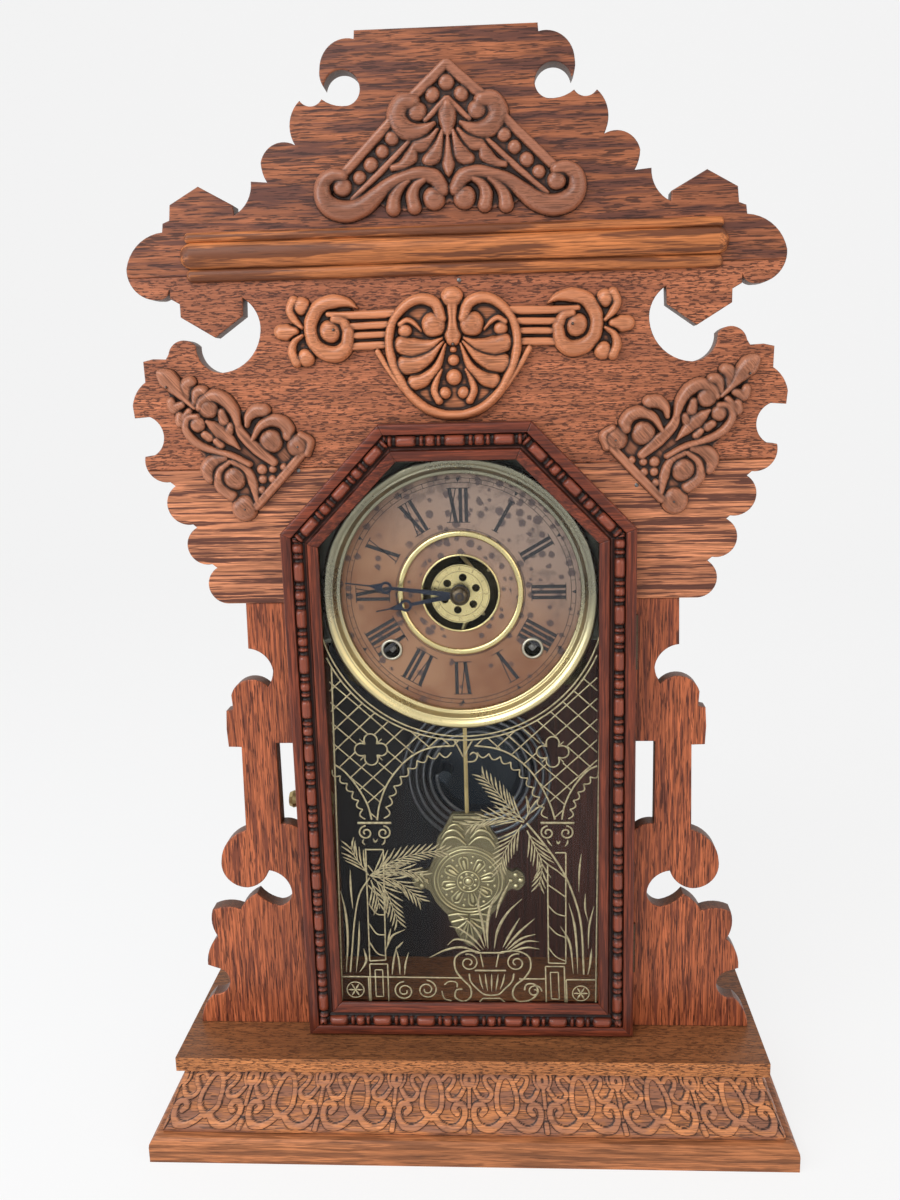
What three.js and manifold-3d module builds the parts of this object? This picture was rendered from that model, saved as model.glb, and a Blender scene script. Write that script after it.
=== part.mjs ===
// Carved oak shelf clock with alarm: fretwork front, octagon-top glazed door, brass-bezel dial,
// eight-day time and strike movement, coil gong and hanging pendulum.
// Millimetres. +X to the viewer's right, +Y to the back, +Z up. The origin is on the floor,
// under the middle of the clock. Inside the group y is counted from the face of the front boards.
import * as THREE from 'three';
import { mergeVertices } from 'three/addons/utils/BufferGeometryUtils.js';
import Module from 'manifold-3d';

const wasm = await Module();
wasm.setup();

// ---------------------------------------------------------------- driving dimensions
const GAP = 0.3; // running and fitting gap between pieces that don't sit face to face
const BOARD = 10; // thickness of the fretwork boards
const STILE_RECESS = 1.2; // the stiles lie this far behind the boards above them
const SEAM_UPPER = 478; // glue line between the crest board and the middle board
const SEAM_LOWER = 380; // glue line between the middle board and the lower boards
const PANEL_BOTTOM = 308; // underside of the lower boards, top of the stiles

const FOOT = { halfWidth: 178.3, front: -44.7, height: 14, nose: 5 };
const SHELF = { halfWidth: 164.4, front: -30.7, top: 54.9, thick: 8.2 };
const SKIRT = { setBack: 4.4, spread: 12, thick: 12 }; // sloping base moulding
const CASE = { halfWidth: 94, back: 76.1, side: 8, top: 404, backboard: 6 };

const DOOR = {
  halfWidth: 92.3, bottom: 56.4, shoulder: 347, top: 402.3, topHalf: 39,
  rail: 19.2, front: -13.2, back: -0.4, mitreGap: 0.15,
};
const OPENING_INSET = 10.3; // the case opening is this much smaller than the door all round
const GLASS = { thick: 2, front: -7.4, bite: 4 };
const HINGE = { x: 92.6, y: -2.4, barrel: 1.6, pin: 0.9, leaf: 0.8, height: 30, low: 92, high: 270 };
const LATCH = { y: 20, z: 187, spindle: 1.8, knob: 5, reach: 10, hook: 1.4, lift: 38 };

const DIAL = { z: 311, face: 6, thick: 1.2, radius: 66.6, hole: 20.5, windX: 38.4, windDrop: 31, windHole: 5 };
const BEZEL = { outer: 74, inner: 64.8, front: -2.5 };
const RING = { middle: 32.5, half: 1.6, proud: 1.4 };
const MINUTE = { length: 61.5, ring: 39.7, angle: 277.1, back: -0.5 };
const HOUR = { length: 46.4, ring: 29.9, angle: 259, back: 2.7 };
const HAND_THICK = 0.7;
const ALARM = { radius: 16, holes: 6, holeAt: 9, hole: 2.2, front: 4.1, thick: 1 };

const PLATE = { halfWidth: 68, low: 255, high: 372, front: 20, back: 50, thick: 1.4 };
const PILLAR = { x: 63.5, low: 260.5, high: 366, radius: 3 };
const ARBOR = 1.2; // radius of the plain arbors
const PIVOT_HOLE = ARBOR + GAP;
const WINDER = 2.6; // radius of a winding arbor
const WINDER_END = 8.6; // how far forward its square end stands
const SPRING = { outer: 24, front: 27, back: 41, turns: 5, strip: 1.2 };
const SUSPENSION_Z = 355;
const VERGE_Z = 349;
const PENDULUM = { y: BOARD + 3.4, rod: 1.25, bobZ: 140.5, bob: 21.5, crank: 8 };
const GONG = { x: 5, z: 188, baseRadius: 34.5, coilInner: 20, coilOuter: 46, turns: 5, wire: 1.1, coilY: 52 };

// ---------------------------------------------------------------- finishes
const finish = (color, roughness, metalness) => ({ color, roughness, metalness });
const OAK = finish(0x8a4a26, 0.55, 0);
const OAK_DARK = finish(0x74391d, 0.5, 0);
const OAK_GOLD = finish(0x9c5e2e, 0.5, 0);
const MAHOGANY = finish(0x7a2c1a, 0.45, 0);
const BRASS = finish(0xb59a55, 0.35, 1);
const IRON = finish(0x1b2026, 0.55, 0.8);
const STEEL = finish(0x8d9196, 0.35, 1);
const BLACK_STEEL = finish(0x15161a, 0.4, 0.9);
const PAPER = finish(0xc79a74, 0.8, 0);
const PANE = finish(0x9fb0b4, 0.05, 0);

// ---------------------------------------------------------------- solids
const clock = new THREE.Group();
clock.position.y = (CASE.back + FOOT.front) / -2;

function solidOf(geometry) {
  const bare = geometry.clone();
  bare.deleteAttribute('normal');
  bare.deleteAttribute('uv');
  const merged = mergeVertices(bare, 1e-4);
  return new wasm.Manifold(new wasm.Mesh({
    numProp: 3,
    vertProperties: new Float32Array(merged.attributes.position.array),
    triVerts: new Uint32Array(merged.index.array),
  }));
}

function geometryOf(solid) {
  const mesh = solid.getMesh();
  const geometry = new THREE.BufferGeometry();
  geometry.setAttribute('position', new THREE.BufferAttribute(new Float32Array(mesh.vertProperties), 3));
  geometry.setIndex(new THREE.BufferAttribute(new Uint32Array(mesh.triVerts), 1));
  return geometry;
}

function add(name, solid, look) {
  const mesh = new THREE.Mesh(geometryOf(solid), new THREE.MeshStandardMaterial(look));
  mesh.name = name;
  clock.add(mesh);
}

const joined = (...solids) => solids.reduce((sum, solid) => sum.add(solid));
const without = (solid, ...cuts) => cuts.reduce((rest, cut) => rest.subtract(cut), solid);

// A flat plate between two depths from an outline in the clock's front plane, with holes right through.
function plate(points, yFront, yBack, holes = []) {
  const shape = new THREE.Shape(points.map(([x, z]) => new THREE.Vector2(x, z)));
  const geometry = new THREE.ExtrudeGeometry(shape, { depth: yBack - yFront, bevelEnabled: false });
  geometry.rotateX(Math.PI / 2);
  geometry.translate(0, yBack, 0);
  return without(solidOf(geometry), ...holes.map((hole) => plate(hole, yFront - 1, yBack + 1)));
}

function box(x0, x1, y0, y1, z0, z1) {
  const geometry = new THREE.BoxGeometry(x1 - x0, y1 - y0, z1 - z0);
  geometry.translate((x0 + x1) / 2, (y0 + y1) / 2, (z0 + z1) / 2);
  return solidOf(geometry);
}

// A turned piece about the Y axis; the profile holds [radius, y] in either direction.
function lathe(profile, sides) {
  const spin = (points) => solidOf(
    new THREE.LatheGeometry(points.map(([r, y]) => new THREE.Vector2(r, y)), sides));
  const solid = spin(profile);
  return solid.volume() > 0 ? solid : spin([...profile].reverse());
}

const turned = (profile, x, z, sides = 24) => lathe(profile, sides).translate([x, 0, z]);

const rod = (x, z, radius, y0, y1, sides = 12) => turned(
  [[0, y0], [radius, y0], [radius, y1], [0, y1]], x, z, sides);

// A cylinder along X or Z, by its two ends.
function bar(radius, from, to, sides = 12) {
  const a = new THREE.Vector3(...from);
  const b = new THREE.Vector3(...to);
  const geometry = new THREE.CylinderGeometry(radius, radius, a.distanceTo(b), sides);
  geometry.applyQuaternion(new THREE.Quaternion().setFromUnitVectors(
    new THREE.Vector3(0, 1, 0), b.clone().sub(a).normalize()));
  geometry.translate((a.x + b.x) / 2, (a.y + b.y) / 2, (a.z + b.z) / 2);
  return solidOf(geometry);
}

function ringPoints(x, z, radius, sides, start = 0) {
  return Array.from({ length: sides }, (_, i) => {
    const angle = start + (i * 2 * Math.PI) / sides;
    return [x + radius * Math.cos(angle), z + radius * Math.sin(angle)];
  });
}

// ---------------------------------------------------------------- outlines
// A step is [x, z] for a straight edge, or [x, z, viaX, viaZ] for an arc through the via point.
const ARC_STEP = Math.PI / 7;
function outline(steps) {
  const points = [];
  steps.forEach(([x, z, viaX, viaZ]) => {
    if (viaX !== undefined) points.push(...arcPoints(points[points.length - 1], [viaX, viaZ], [x, z]));
    points.push([x, z]);
  });
  return points;
}

function arcPoints([ax, az], [bx, bz], [cx, cz]) {
  const d = 2 * (ax * (bz - cz) + bx * (cz - az) + cx * (az - bz));
  const a2 = ax * ax + az * az;
  const b2 = bx * bx + bz * bz;
  const c2 = cx * cx + cz * cz;
  const ox = (a2 * (bz - cz) + b2 * (cz - az) + c2 * (az - bz)) / d;
  const oz = (a2 * (cx - bx) + b2 * (ax - cx) + c2 * (bx - ax)) / d;
  const radius = Math.hypot(ax - ox, az - oz);
  const turn = (angle) => ((angle % (2 * Math.PI)) + 2 * Math.PI) % (2 * Math.PI);
  const from = Math.atan2(az - oz, ax - ox);
  const mid = turn(Math.atan2(bz - oz, bx - ox) - from);
  const end = turn(Math.atan2(cz - oz, cx - ox) - from);
  const sweep = mid < end ? end : end - 2 * Math.PI;
  const count = Math.max(2, Math.round(Math.abs(sweep) / ARC_STEP));
  return Array.from({ length: count - 1 }, (_, i) => {
    const angle = from + (sweep * (i + 1)) / count;
    return [ox + radius * Math.cos(angle), oz + radius * Math.sin(angle)];
  });
}

const mirrored = (points) => points.map(([x, z]) => [-x, z]).reverse();
const mirrorX = (solid) => solid.mirror([1, 0, 0]);

// The moulded outline of the upper panel's right half, from the top edge down to its lower corner.
const UPPER_EDGE = outline([
  [0, 589.7], [44.2, 589.7], [44.5, 585.9], [61.8, 573.1, 57.8, 582.2], [60.2, 564.8, 61.7, 568.2],
  [43.1, 566.5, 52.5, 572.2], [48.9, 556, 44.5, 558.4], [61.5, 559.4, 55.5, 556.5],
  [72.4, 559.1, 67.2, 556.3], [75.8, 538.9, 77.8, 549.5], [93.4, 531.2, 89.4, 537.6],
  [90.8, 521.9, 92.7, 526.3], [98.9, 522.6], [108.4, 507, 101.7, 512.8], [108.6, 511.6],
  [125.8, 521.1], [140.8, 512.8], [141.6, 505.4], [145.1, 504.1], [145.7, 499.9],
  [165.6, 482.7, 159.2, 493.9], [150.9, 467, 161, 470.7], [144.1, 471.7, 146.3, 468.3],
  [144.1, 467.3], [139.5, 464.7], [139.5, 458.1], [122.3, 447.6], [107.2, 458.1], [106.8, 466.9],
  [98.7, 450.3, 99.8, 458.6], [120.1, 429.9, 106.8, 435.2], [132.7, 443.7, 129.3, 434],
  [147.4, 439.9, 139.6, 446.7], [149, 437.4], [155.7, 437.7], [161, 436.5], [160.8, 426.1],
  [168.5, 414.2, 166.6, 419.7], [167.9, 407.7], [160.1, 408.3], [159.1, 388.3, 153.3, 397.6],
  [164.1, 387.7], [151.8, 374, 161.3, 377.3], [149.3, 371.9], [141.3, 351.3, 154.5, 362.5],
  [139.4, 349.6], [132.6, 329.7, 145.3, 340.3], [130.1, 327.7], [125.6, PANEL_BOTTOM, 135.4, 318.2],
]);

// The right stile's outer edge, from the top corner down to the shelf.
const STILE_EDGE = outline([
  [116.2, PANEL_BOTTOM], [116.6, 282.4], [103.7, 269.7, 105.9, 275.9], [107, 260.6, 104.6, 265.2],
  [127.9, 255.9, 118.3, 264.7], [127.4, 247.9], [131.3, 246.9], [131.4, 226, 131.9, 236.8],
  [124.2, 225.8], [125, 176.1], [140.5, 157.7, 138.5, 165.2], [126.3, 140.9, 135.5, 144.2],
  [113.6, 151.6, 118.3, 144.2], [100.9, 138.4, 105.9, 148.2], [108.9, 129.8, 103.3, 132.2],
  [121.1, 137.5, 115.3, 132.2], [131.4, 127.3, 126.9, 133.5], [148, 126.7, 139.7, 128.8],
  [146, 110.1, 148.7, 117.3], [153.2, 91.8, 151.2, 102.6], [147.8, 89.9], [151, 73.1, 141, 81],
  [159.3, SHELF.top, 155.8, 67.5],
]);
const SLOT = outline([
  [CASE.halfWidth, 228], [104.6, 228], [104.6, 180], [CASE.halfWidth, 176.5, 99.4, 179.6],
]);

// The door's outer corners, clockwise from the bottom left, and the same shape drawn inwards.
function doorCorners(inset) {
  const { halfWidth, bottom, shoulder, top, topHalf } = DOOR;
  const slope = Math.atan2(top - shoulder, halfWidth - topHalf);
  const shoulderDrop = inset * Math.tan((Math.PI / 2 - slope) / 2);
  const topDraw = inset * Math.tan(slope / 2);
  return [
    [-halfWidth + inset, bottom + inset], [-halfWidth + inset, shoulder - shoulderDrop],
    [-topHalf + topDraw, top - inset], [topHalf - topDraw, top - inset],
    [halfWidth - inset, shoulder - shoulderDrop], [halfWidth - inset, bottom + inset],
  ];
}

// ---------------------------------------------------------------- front boards and stiles
function frontBoards() {
  const panel = plate([...UPPER_EDGE, ...mirrored(UPPER_EDGE.slice(1))], 0, BOARD);
  const wide = FOOT.halfWidth;
  const band = (low, high) => box(-wide, wide, -1, BOARD + 1, low, high);
  const opening = plate(
    doorCorners(OPENING_INSET).map(([x, z]) => [x, Math.max(z, SHELF.top + 1)]), -1, BOARD + 1);
  const lower = panel.intersect(band(PANEL_BOTTOM - 1, SEAM_LOWER)).subtract(opening);
  add('crest_board', panel.intersect(band(SEAM_UPPER, 600)), OAK_DARK);
  add('middle_board', panel.intersect(band(SEAM_LOWER, SEAM_UPPER)).subtract(opening), OAK);
  add('lower_board_left', lower.intersect(box(-wide, 0, -1, BOARD + 1, 0, SEAM_UPPER)), OAK);
  add('lower_board_right', lower.intersect(box(0, wide, -1, BOARD + 1, 0, SEAM_UPPER)), OAK);
}

function stiles() {
  const inner = DOOR.halfWidth - OPENING_INSET;
  const right = plate([[inner, SHELF.top], [inner, PANEL_BOTTOM], ...STILE_EDGE], STILE_RECESS, BOARD, [SLOT]);
  add('stile_right', right, OAK);
  add('stile_left', mirrorX(right), OAK);
}

// Three reeds across the crest board: two slim ones and a thick one with rounded ends.
function crestMoulding() {
  const reed = (halfLength, low, high, proud) => {
    const middle = (low + high) / 2;
    const half = (high - low) / 2;
    const profile = outline([[0, low], [0, high, proud, middle]]);
    const geometry = new THREE.ExtrudeGeometry(
      new THREE.Shape(profile.map(([t, z]) => new THREE.Vector2(t, z))),
      { depth: 2 * halfLength, bevelEnabled: false, curveSegments: 1 });
    const turn = new THREE.Matrix4().makeBasis(
      new THREE.Vector3(0, -1, 0), new THREE.Vector3(0, 0, 1), new THREE.Vector3(-1, 0, 0));
    geometry.applyMatrix4(turn);
    geometry.translate(halfLength, 0, 0);
    return solidOf(geometry).add(box(-halfLength, halfLength, -1, 0, middle - half, middle + half));
  };
  const slimLower = reed(134.3, 474.8, 481.4, 3.4);
  const slimUpper = reed(134.3, 493.6, 499, 3.2);
  add('crest_moulding', joined(slimLower, reed(137, 480.8, 494.2, 5.6), slimUpper), OAK_DARK);
}

// ---------------------------------------------------------------- carved ornaments (their solid blanks)
function bevelled(points, thick, bevel) {
  const shape = new THREE.Shape(points.map(([x, z]) => new THREE.Vector2(x, z)));
  const geometry = new THREE.ExtrudeGeometry(shape, {
    depth: thick - bevel, bevelEnabled: true, bevelSize: bevel * 0.8, bevelOffset: -bevel * 0.8,
    bevelThickness: bevel, bevelSegments: 1,
  });
  geometry.rotateX(Math.PI / 2);
  const solid = solidOf(geometry);
  return solid.intersect(box(-200, 200, -thick, 0, 0, 700));
}

const ORNAMENT = 5.5;
const CREST_ORNAMENT = outline([
  [0, 577], [5, 572.6], [51, 529.4, 29.5, 550.4], [54.4, 503.4, 66.3, 515.6], [39.5, 506.6, 46.6, 507],
  [26, 505.8, 32.6, 503.2], [13.2, 505.4, 19.6, 503], [0, 506.4, 6.4, 502.6],
]);
const CORNER_ORNAMENT = outline([
  [151.6, 431.4], [143.6, 411.6, 151.4, 421.6], [137.2, 396.4, 145, 402.6], [132.4, 377.6, 140.6, 387.2],
  [121.6, 366.8, 130.8, 370], [111.8, 354.2, 120.6, 357.4], [107.4, 355.4], [75.6, 390.4, 91.4, 372.4],
  [77.6, 397], [96.4, 409.8, 84, 407.8], [116.6, 419.4, 104.6, 417.4], [133.8, 426.6, 124.4, 426.4],
]);

function ornaments() {
  const crest = [...CREST_ORNAMENT, ...mirrored(CREST_ORNAMENT.slice(1, -1))];
  add('crest_ornament', bevelled(crest, ORNAMENT, 1.4), OAK_DARK);
  const corner = bevelled(CORNER_ORNAMENT, ORNAMENT, 1.4);
  add('corner_ornament_right', corner, OAK);
  add('corner_ornament_left', mirrorX(corner), OAK);
  const disc = (x, z, r, thick, sides) => turned(
    [[0, 0], [r, 0], [r, 1.4 - thick], [r * 0.86, -thick], [0, -thick]], x, z, sides);
  const scrollX = 61.5;
  const half = joined(
    box(0, scrollX, -4, 0, 444.5, 459.5), disc(scrollX, 449.8, 13.6, ORNAMENT, 14),
    disc(77, 460.6, 6.6, 4.6, 9), disc(77, 439, 6.6, 4.6, 9), disc(85.2, 449.8, 6.2, 4.6, 9),
    box(scrollX, 84, -3.6, 0, 447, 452.6));
  const middle = joined(disc(0, 437.6, 34, ORNAMENT + 0.5, 24), disc(0, 465.6, 6, 5, 10));
  add('centre_ornament', joined(half, mirrorX(half), middle), OAK_DARK);
}

// ---------------------------------------------------------------- case box
function caseBox() {
  const { halfWidth, back, side, top, backboard } = CASE;
  const inside = back - backboard;
  const { y, z, spindle } = LATCH;
  const hole = bar(spindle + GAP, [-halfWidth - 1, y, z], [-halfWidth + side + 1, y, z]);
  const left = box(-halfWidth, -halfWidth + side, BOARD, inside, SHELF.top, top - side);
  add('case_side_left', without(left, hole), OAK_DARK);
  add('case_side_right', box(halfWidth - side, halfWidth, BOARD, inside, SHELF.top, top - side), OAK_DARK);
  add('case_top', box(-halfWidth, halfWidth, BOARD, inside, top - side, top), OAK_DARK);
  add('backboard', box(-halfWidth, halfWidth, inside, back, SHELF.top, top), OAK_DARK);
}

// A triangle mesh from points and faces, turned outwards if its faces point in.
function shell(positions, faces) {
  const geometry = new THREE.BufferGeometry();
  geometry.setAttribute('position', new THREE.BufferAttribute(new Float32Array(positions), 3));
  geometry.setIndex(faces);
  const solid = solidOf(geometry);
  if (solid.volume() > 0) return solid;
  geometry.setIndex(faces.map((_, i) => faces[i + 2 - 2 * (i % 3)]));
  return solidOf(geometry);
}

// A straight moulding: place(u, t, end) puts each point of its section at either end of the run.
function run(section, place) {
  const vectors = section.map(([u, t]) => new THREE.Vector2(u, t));
  if (THREE.ShapeUtils.isClockWise(vectors)) vectors.reverse();
  const count = vectors.length;
  const positions = [0, 1].flatMap((end) => vectors.flatMap(({ x, y }) => place(x, y, end)));
  const faces = [];
  for (let i = 0; i < count; i += 1) {
    const next = (i + 1) % count;
    faces.push(i, next, count + next, i, count + next, count + i);
  }
  THREE.ShapeUtils.triangulateShape(vectors, []).forEach(([a, b, c]) => {
    faces.push(c, b, a, count + a, count + b, count + c);
  });
  return shell(positions, faces);
}

function base() {
  const under = SHELF.top - SHELF.thick;
  const back = CASE.back;
  add('base_shelf', box(-SHELF.halfWidth, SHELF.halfWidth, SHELF.front, back, under, SHELF.top), OAK_GOLD);
  const { halfWidth, front, height, nose } = FOOT;
  const footSection = [
    ...outline([[0, 0], [0, height - nose], [nose * 0.9, height, nose * 0.2, height - nose * 0.35]]),
    [nose, height], [nose, 0],
  ];
  const foot = joined(
    box(-halfWidth + nose, halfWidth - nose, front + nose, back, 0, height),
    run(footSection, (u, z, end) => [(end ? 1 : -1) * (halfWidth - u), front + u, z]),
    run(footSection, (u, z, end) => [halfWidth - u, end ? back : front + u, z]),
    run(footSection, (u, z, end) => [u - halfWidth, end ? back : front + u, z]));
  add('foot_board', foot, OAK_GOLD);

  const topX = SHELF.halfWidth - SKIRT.setBack;
  const topY = SHELF.front + SKIRT.setBack;
  const profile = outline([
    [0, under], [SKIRT.spread * 0.2, under - 7],
    [SKIRT.spread - 1.6, height + 5.6, SKIRT.spread * 0.52, height + 17],
    [SKIRT.spread, height + 3], [SKIRT.spread, height], [-SKIRT.thick, height], [-SKIRT.thick, under],
  ]);
  const cut = GAP / 2;
  const skirt = run(profile, (u, z, end) => [(end ? 1 : -1) * (topX + u - cut), topY - u, z]);
  add('base_moulding_front', skirt, OAK_GOLD);
  const right = run(profile, (u, z, end) => [topX + u, end ? back : topY - u + cut, z]);
  add('base_moulding_right', right, OAK_GOLD);
  add('base_moulding_left', mirrorX(right), OAK_GOLD);
}

// ---------------------------------------------------------------- door
// The rail section: [inward from the outer edge, y]; flat strip, groove, bead, groove, inner slope.
const RAIL = outline([
  [0, DOOR.back], [0, -10.4], [1.2, -11.6], [5.4, -11.6], [6, -9.6], [11.6, -9.6, 8.8, DOOR.front],
  [12.4, -8.8], [13.6, -8.8], [14.2, -11.4], [DOOR.rail, -9.2], [DOOR.rail, GLASS.front - GAP],
  [DOOR.rail - GLASS.bite, GLASS.front - GAP], [DOOR.rail - GLASS.bite, DOOR.back],
]);

// One mitred rail between two corners of the door, clockwise.
function rail(corner) {
  const outer = doorCorners(0);
  const inner = doorCorners(1);
  const ends = [corner, (corner + 1) % outer.length];
  const length = Math.hypot(outer[ends[1]][0] - outer[ends[0]][0], outer[ends[1]][1] - outer[ends[0]][1]);
  const along = [0, 1].map((k) => (outer[ends[1]][k] - outer[ends[0]][k]) / length);
  return run(RAIL, (u, y, end) => {
    const c = ends[end];
    const x = outer[c][0] + u * (inner[c][0] - outer[c][0]);
    const z = outer[c][1] + u * (inner[c][1] - outer[c][1]);
    const draw = end ? -DOOR.mitreGap : DOOR.mitreGap;
    return [x + draw * along[0], y, z + draw * along[1]];
  });
}

const HINGE_SPAN = (low) => ({ low, high: low + HINGE.height, third: HINGE.height / 3 });

function door() {
  const names = ['door_stile_left', 'door_rail_upper_left', 'door_rail_top', 'door_rail_upper_right',
    'door_stile_right', 'door_rail_bottom'];
  names.forEach((name, corner) => {
    let solid = rail(corner);
    if (name === 'door_stile_right') solid = without(solid, ...[HINGE.low, HINGE.high].map(hingeMortise));
    add(name, solid, MAHOGANY);
  });
  const bite = GLASS.bite - GAP;
  add('door_glass', plate(doorCorners(DOOR.rail - bite), GLASS.front, GLASS.front + GLASS.thick), PANE);
  // A brass keeper on the back of the left stile: its pin takes the latch hook.
  const pinY = 5.5;
  add('door_keeper', joined(
    box(-82, -75.2, DOOR.back, 0.6, LATCH.z - 9, LATCH.z + 9),
    box(-76.4, -75.2, 0.6, pinY + 1.6, LATCH.z - 2.6, LATCH.z + 2.6),
    bar(1, [-80.6, pinY, LATCH.z], [-76, pinY, LATCH.z])), BRASS);
}

// Room in the door's back edge for a hinge's barrel and its leaf.
function hingeMortise(low) {
  const { x, y, barrel, leaf } = HINGE;
  const { high } = HINGE_SPAN(low);
  const room = barrel + GAP;
  return joined(
    box(x - room, x + room + 1, y - room, 1, low - GAP, high + GAP),
    box(x - 15, x, DOOR.back - leaf - GAP, 1, low - GAP, high + GAP));
}

function hinges() {
  const { x, y, barrel, pin, leaf } = HINGE;
  [['lower', HINGE.low], ['upper', HINGE.high]].forEach(([place, low]) => {
    const { high, third } = HINGE_SPAN(low);
    const knuckle = (z0, z1) => bar(barrel, [x, y, z0], [x, y, z1]);
    const seat = STILE_RECESS;
    const caseLeaf = joined(
      knuckle(low, low + third - GAP), knuckle(high - third + GAP, high), bar(pin, [x, y, low], [x, y, high]),
      box(x - 0.6, x + 0.6, y, seat, low, low + third - GAP),
      box(x - 0.6, x + 0.6, y, seat, high - third + GAP, high),
      box(x - 9, x + 0.6, seat - leaf, seat, low, high));
    add(`hinge_${place}_case_leaf`, caseLeaf, BRASS);
    const bore = bar(pin + GAP, [x, y, low], [x, y, high]);
    const doorLeaf = without(joined(
      knuckle(low + third, high - third),
      box(x - 14, x - pin - GAP, DOOR.back - leaf, DOOR.back, low, high),
      box(x - barrel, x - pin - GAP, DOOR.back - leaf - 1, DOOR.back, low + third, high - third)), bore);
    add(`hinge_${place}_door_leaf`, doorLeaf, BRASS);
  });
}

// The latch: a turned knob outside the left wall, its spindle, and a hook inside. It rests lifted.
function latch() {
  const { y, z, spindle, knob, reach, hook, lift } = LATCH;
  const outside = -CASE.halfWidth;
  const profile = [
    [0, 0], [2.6, 0], [2.2, 2.6], [knob * 0.86, 4.2], [knob, 6.6], [knob * 0.8, 8.8], [0, reach - 0.6],
  ];
  const knobSolid = lathe(profile, 14).rotate([0, 0, 90]).translate([outside - GAP, y, z]);
  const hookX = -79.4;
  const hookGeometry = new THREE.ExtrudeGeometry(new THREE.Shape(outline([
    [-3, -3], [3, -3], [3, 3, 4.4, 0], [-17.6, 3], [-17.6, -4.4], [-16.2, -4.4], [-16, 1.2], [-13, 1.2],
    [-12, -1.4],
  ]).map(([a, b]) => new THREE.Vector2(a, b))), { depth: hook, bevelEnabled: false });
  // Shape axes: first along Y, second along Z, thickness along X.
  hookGeometry.applyMatrix4(new THREE.Matrix4().makeBasis(
    new THREE.Vector3(0, 1, 0), new THREE.Vector3(0, 0, 1), new THREE.Vector3(1, 0, 0)));
  hookGeometry.rotateX((-lift * Math.PI) / 180);
  hookGeometry.translate(hookX, y, z);
  const spindleBar = bar(spindle, [outside - 1, y, z], [hookX + hook, y, z]);
  add('latch', joined(knobSolid, spindleBar, solidOf(hookGeometry)), BRASS);
}

// ---------------------------------------------------------------- dial
function dial() {
  const { z, face, thick, radius, hole, windX, windDrop, windHole } = DIAL;
  const holes = [ringPoints(0, z, hole, 32)];
  [-windX, windX].forEach((x) => holes.push(ringPoints(x, z - windDrop, windHole, 14)));
  add('dial_plate', plate(ringPoints(0, z, radius, 48), face, face + thick, holes), PAPER);
  const { outer, inner, front } = BEZEL;
  const back = BOARD + 0.4;
  const pan = turned([
    [inner, face - GAP], [inner, 2.2], [inner + 2.2, 1.2], [inner + 3.4, -0.8], [inner + 6, front],
    [outer - 1.4, front + 0.3], [outer, front + 2], [outer, back], [radius + GAP, back], [radius + GAP, face - GAP],
    [inner, face - GAP],
  ], 0, z, 42);
  // A sheet flange carries the bezel on the back of the boards.
  add('dial_bezel', joined(pan, flange()), BRASS);
  const { middle, half, proud } = RING;
  add('dial_centre_ring', turned([
    [middle - half, face], [middle - half, face - proud * 0.6], [middle, face - proud],
    [middle + half, face - proud * 0.6], [middle + half, face], [middle - half, face],
  ], 0, z, 36), BRASS);
}

// The upper part of an eight-sided sheet that reaches out over the back of the boards' opening.
function flange() {
  const across = DOOR.halfWidth - OPENING_INSET + 1.2;
  const sheet = plate(ringPoints(0, DIAL.z, across / Math.cos(Math.PI / 8), 8, Math.PI / 8), BOARD, BOARD + 0.8,
    [ringPoints(0, DIAL.z, DIAL.radius - 3, 24)]);
  return sheet.intersect(box(-across, across, BOARD - 1, BOARD + 2, DIAL.z - 28, CASE.top));
}

// A hand that points up from the centre: hub, tapering stem, open circle and spear point.
function hand({ length, ring, angle, back }, hubRadius, bore, cap) {
  const { z } = DIAL;
  const ringOuter = 3.4;
  const front = back - HAND_THICK;
  const stem = plate([[-1.5, z], [-0.8, z + ring - 2], [0.8, z + ring - 2], [1.5, z]], front, back);
  const point = plate([[-2.3, z + ring + 2], [-0.35, z + ring + 9], [-0.3, z + length], [0.3, z + length],
    [0.35, z + ring + 9], [2.3, z + ring + 2]], front, back);
  const circle = plate(ringPoints(0, z + ring, ringOuter, 14), front, back);
  const eye = rod(0, z + ring, 2, front - 1, back + 1, 10);
  let solid = without(joined(stem, point, circle, rod(0, z, hubRadius, front, back, 16)), eye);
  if (cap) solid = solid.add(cap);
  solid = solid.subtract(bore);
  return solid.translate([0, 0, -z]).rotate([0, angle, 0]).translate([0, 0, z]);
}

const PIPE = { cannonInner: ARBOR + GAP, cannonOuter: 2.2, hourInner: 2.5, hourOuter: 3.4 };

function hands() {
  const { z } = DIAL;
  const tip = MINUTE.back - HAND_THICK;
  const nut = turned([
    [0, tip - 3.2], [2.2, tip - 3], [3.4, tip - 1.8], [4.6, tip - 0.6], [4.6, tip + 0.2], [0, tip + 0.2],
  ], 0, z, 16);
  const minuteBore = rod(0, z, PIPE.cannonOuter + GAP, tip - 0.6, MINUTE.back + 1, 16);
  add('minute_hand', hand(MINUTE, 5, minuteBore, nut), BLACK_STEEL);
  const hourBore = rod(0, z, PIPE.hourOuter + GAP, HOUR.back - 3, HOUR.back + 1, 16);
  add('hour_hand', hand(HOUR, 5.4, hourBore), BLACK_STEEL);
  const { radius, holes, holeAt, hole, front, thick } = ALARM;
  const cuts = ringPoints(0, z, holeAt, holes, 0.35).map(([x, y]) => ringPoints(x, y, hole, 10));
  cuts.push(ringPoints(0, z, PIPE.hourOuter + GAP, 12));
  add('alarm_disc', plate(ringPoints(0, z, radius, 32), front, front + thick, cuts), BRASS);
}

// ---------------------------------------------------------------- movement
const CENTRE = [0, DIAL.z];
const TIME_WIND = [DIAL.windX, DIAL.z - DIAL.windDrop];
const STRIKE_WIND = [-DIAL.windX, DIAL.z - DIAL.windDrop];

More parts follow.
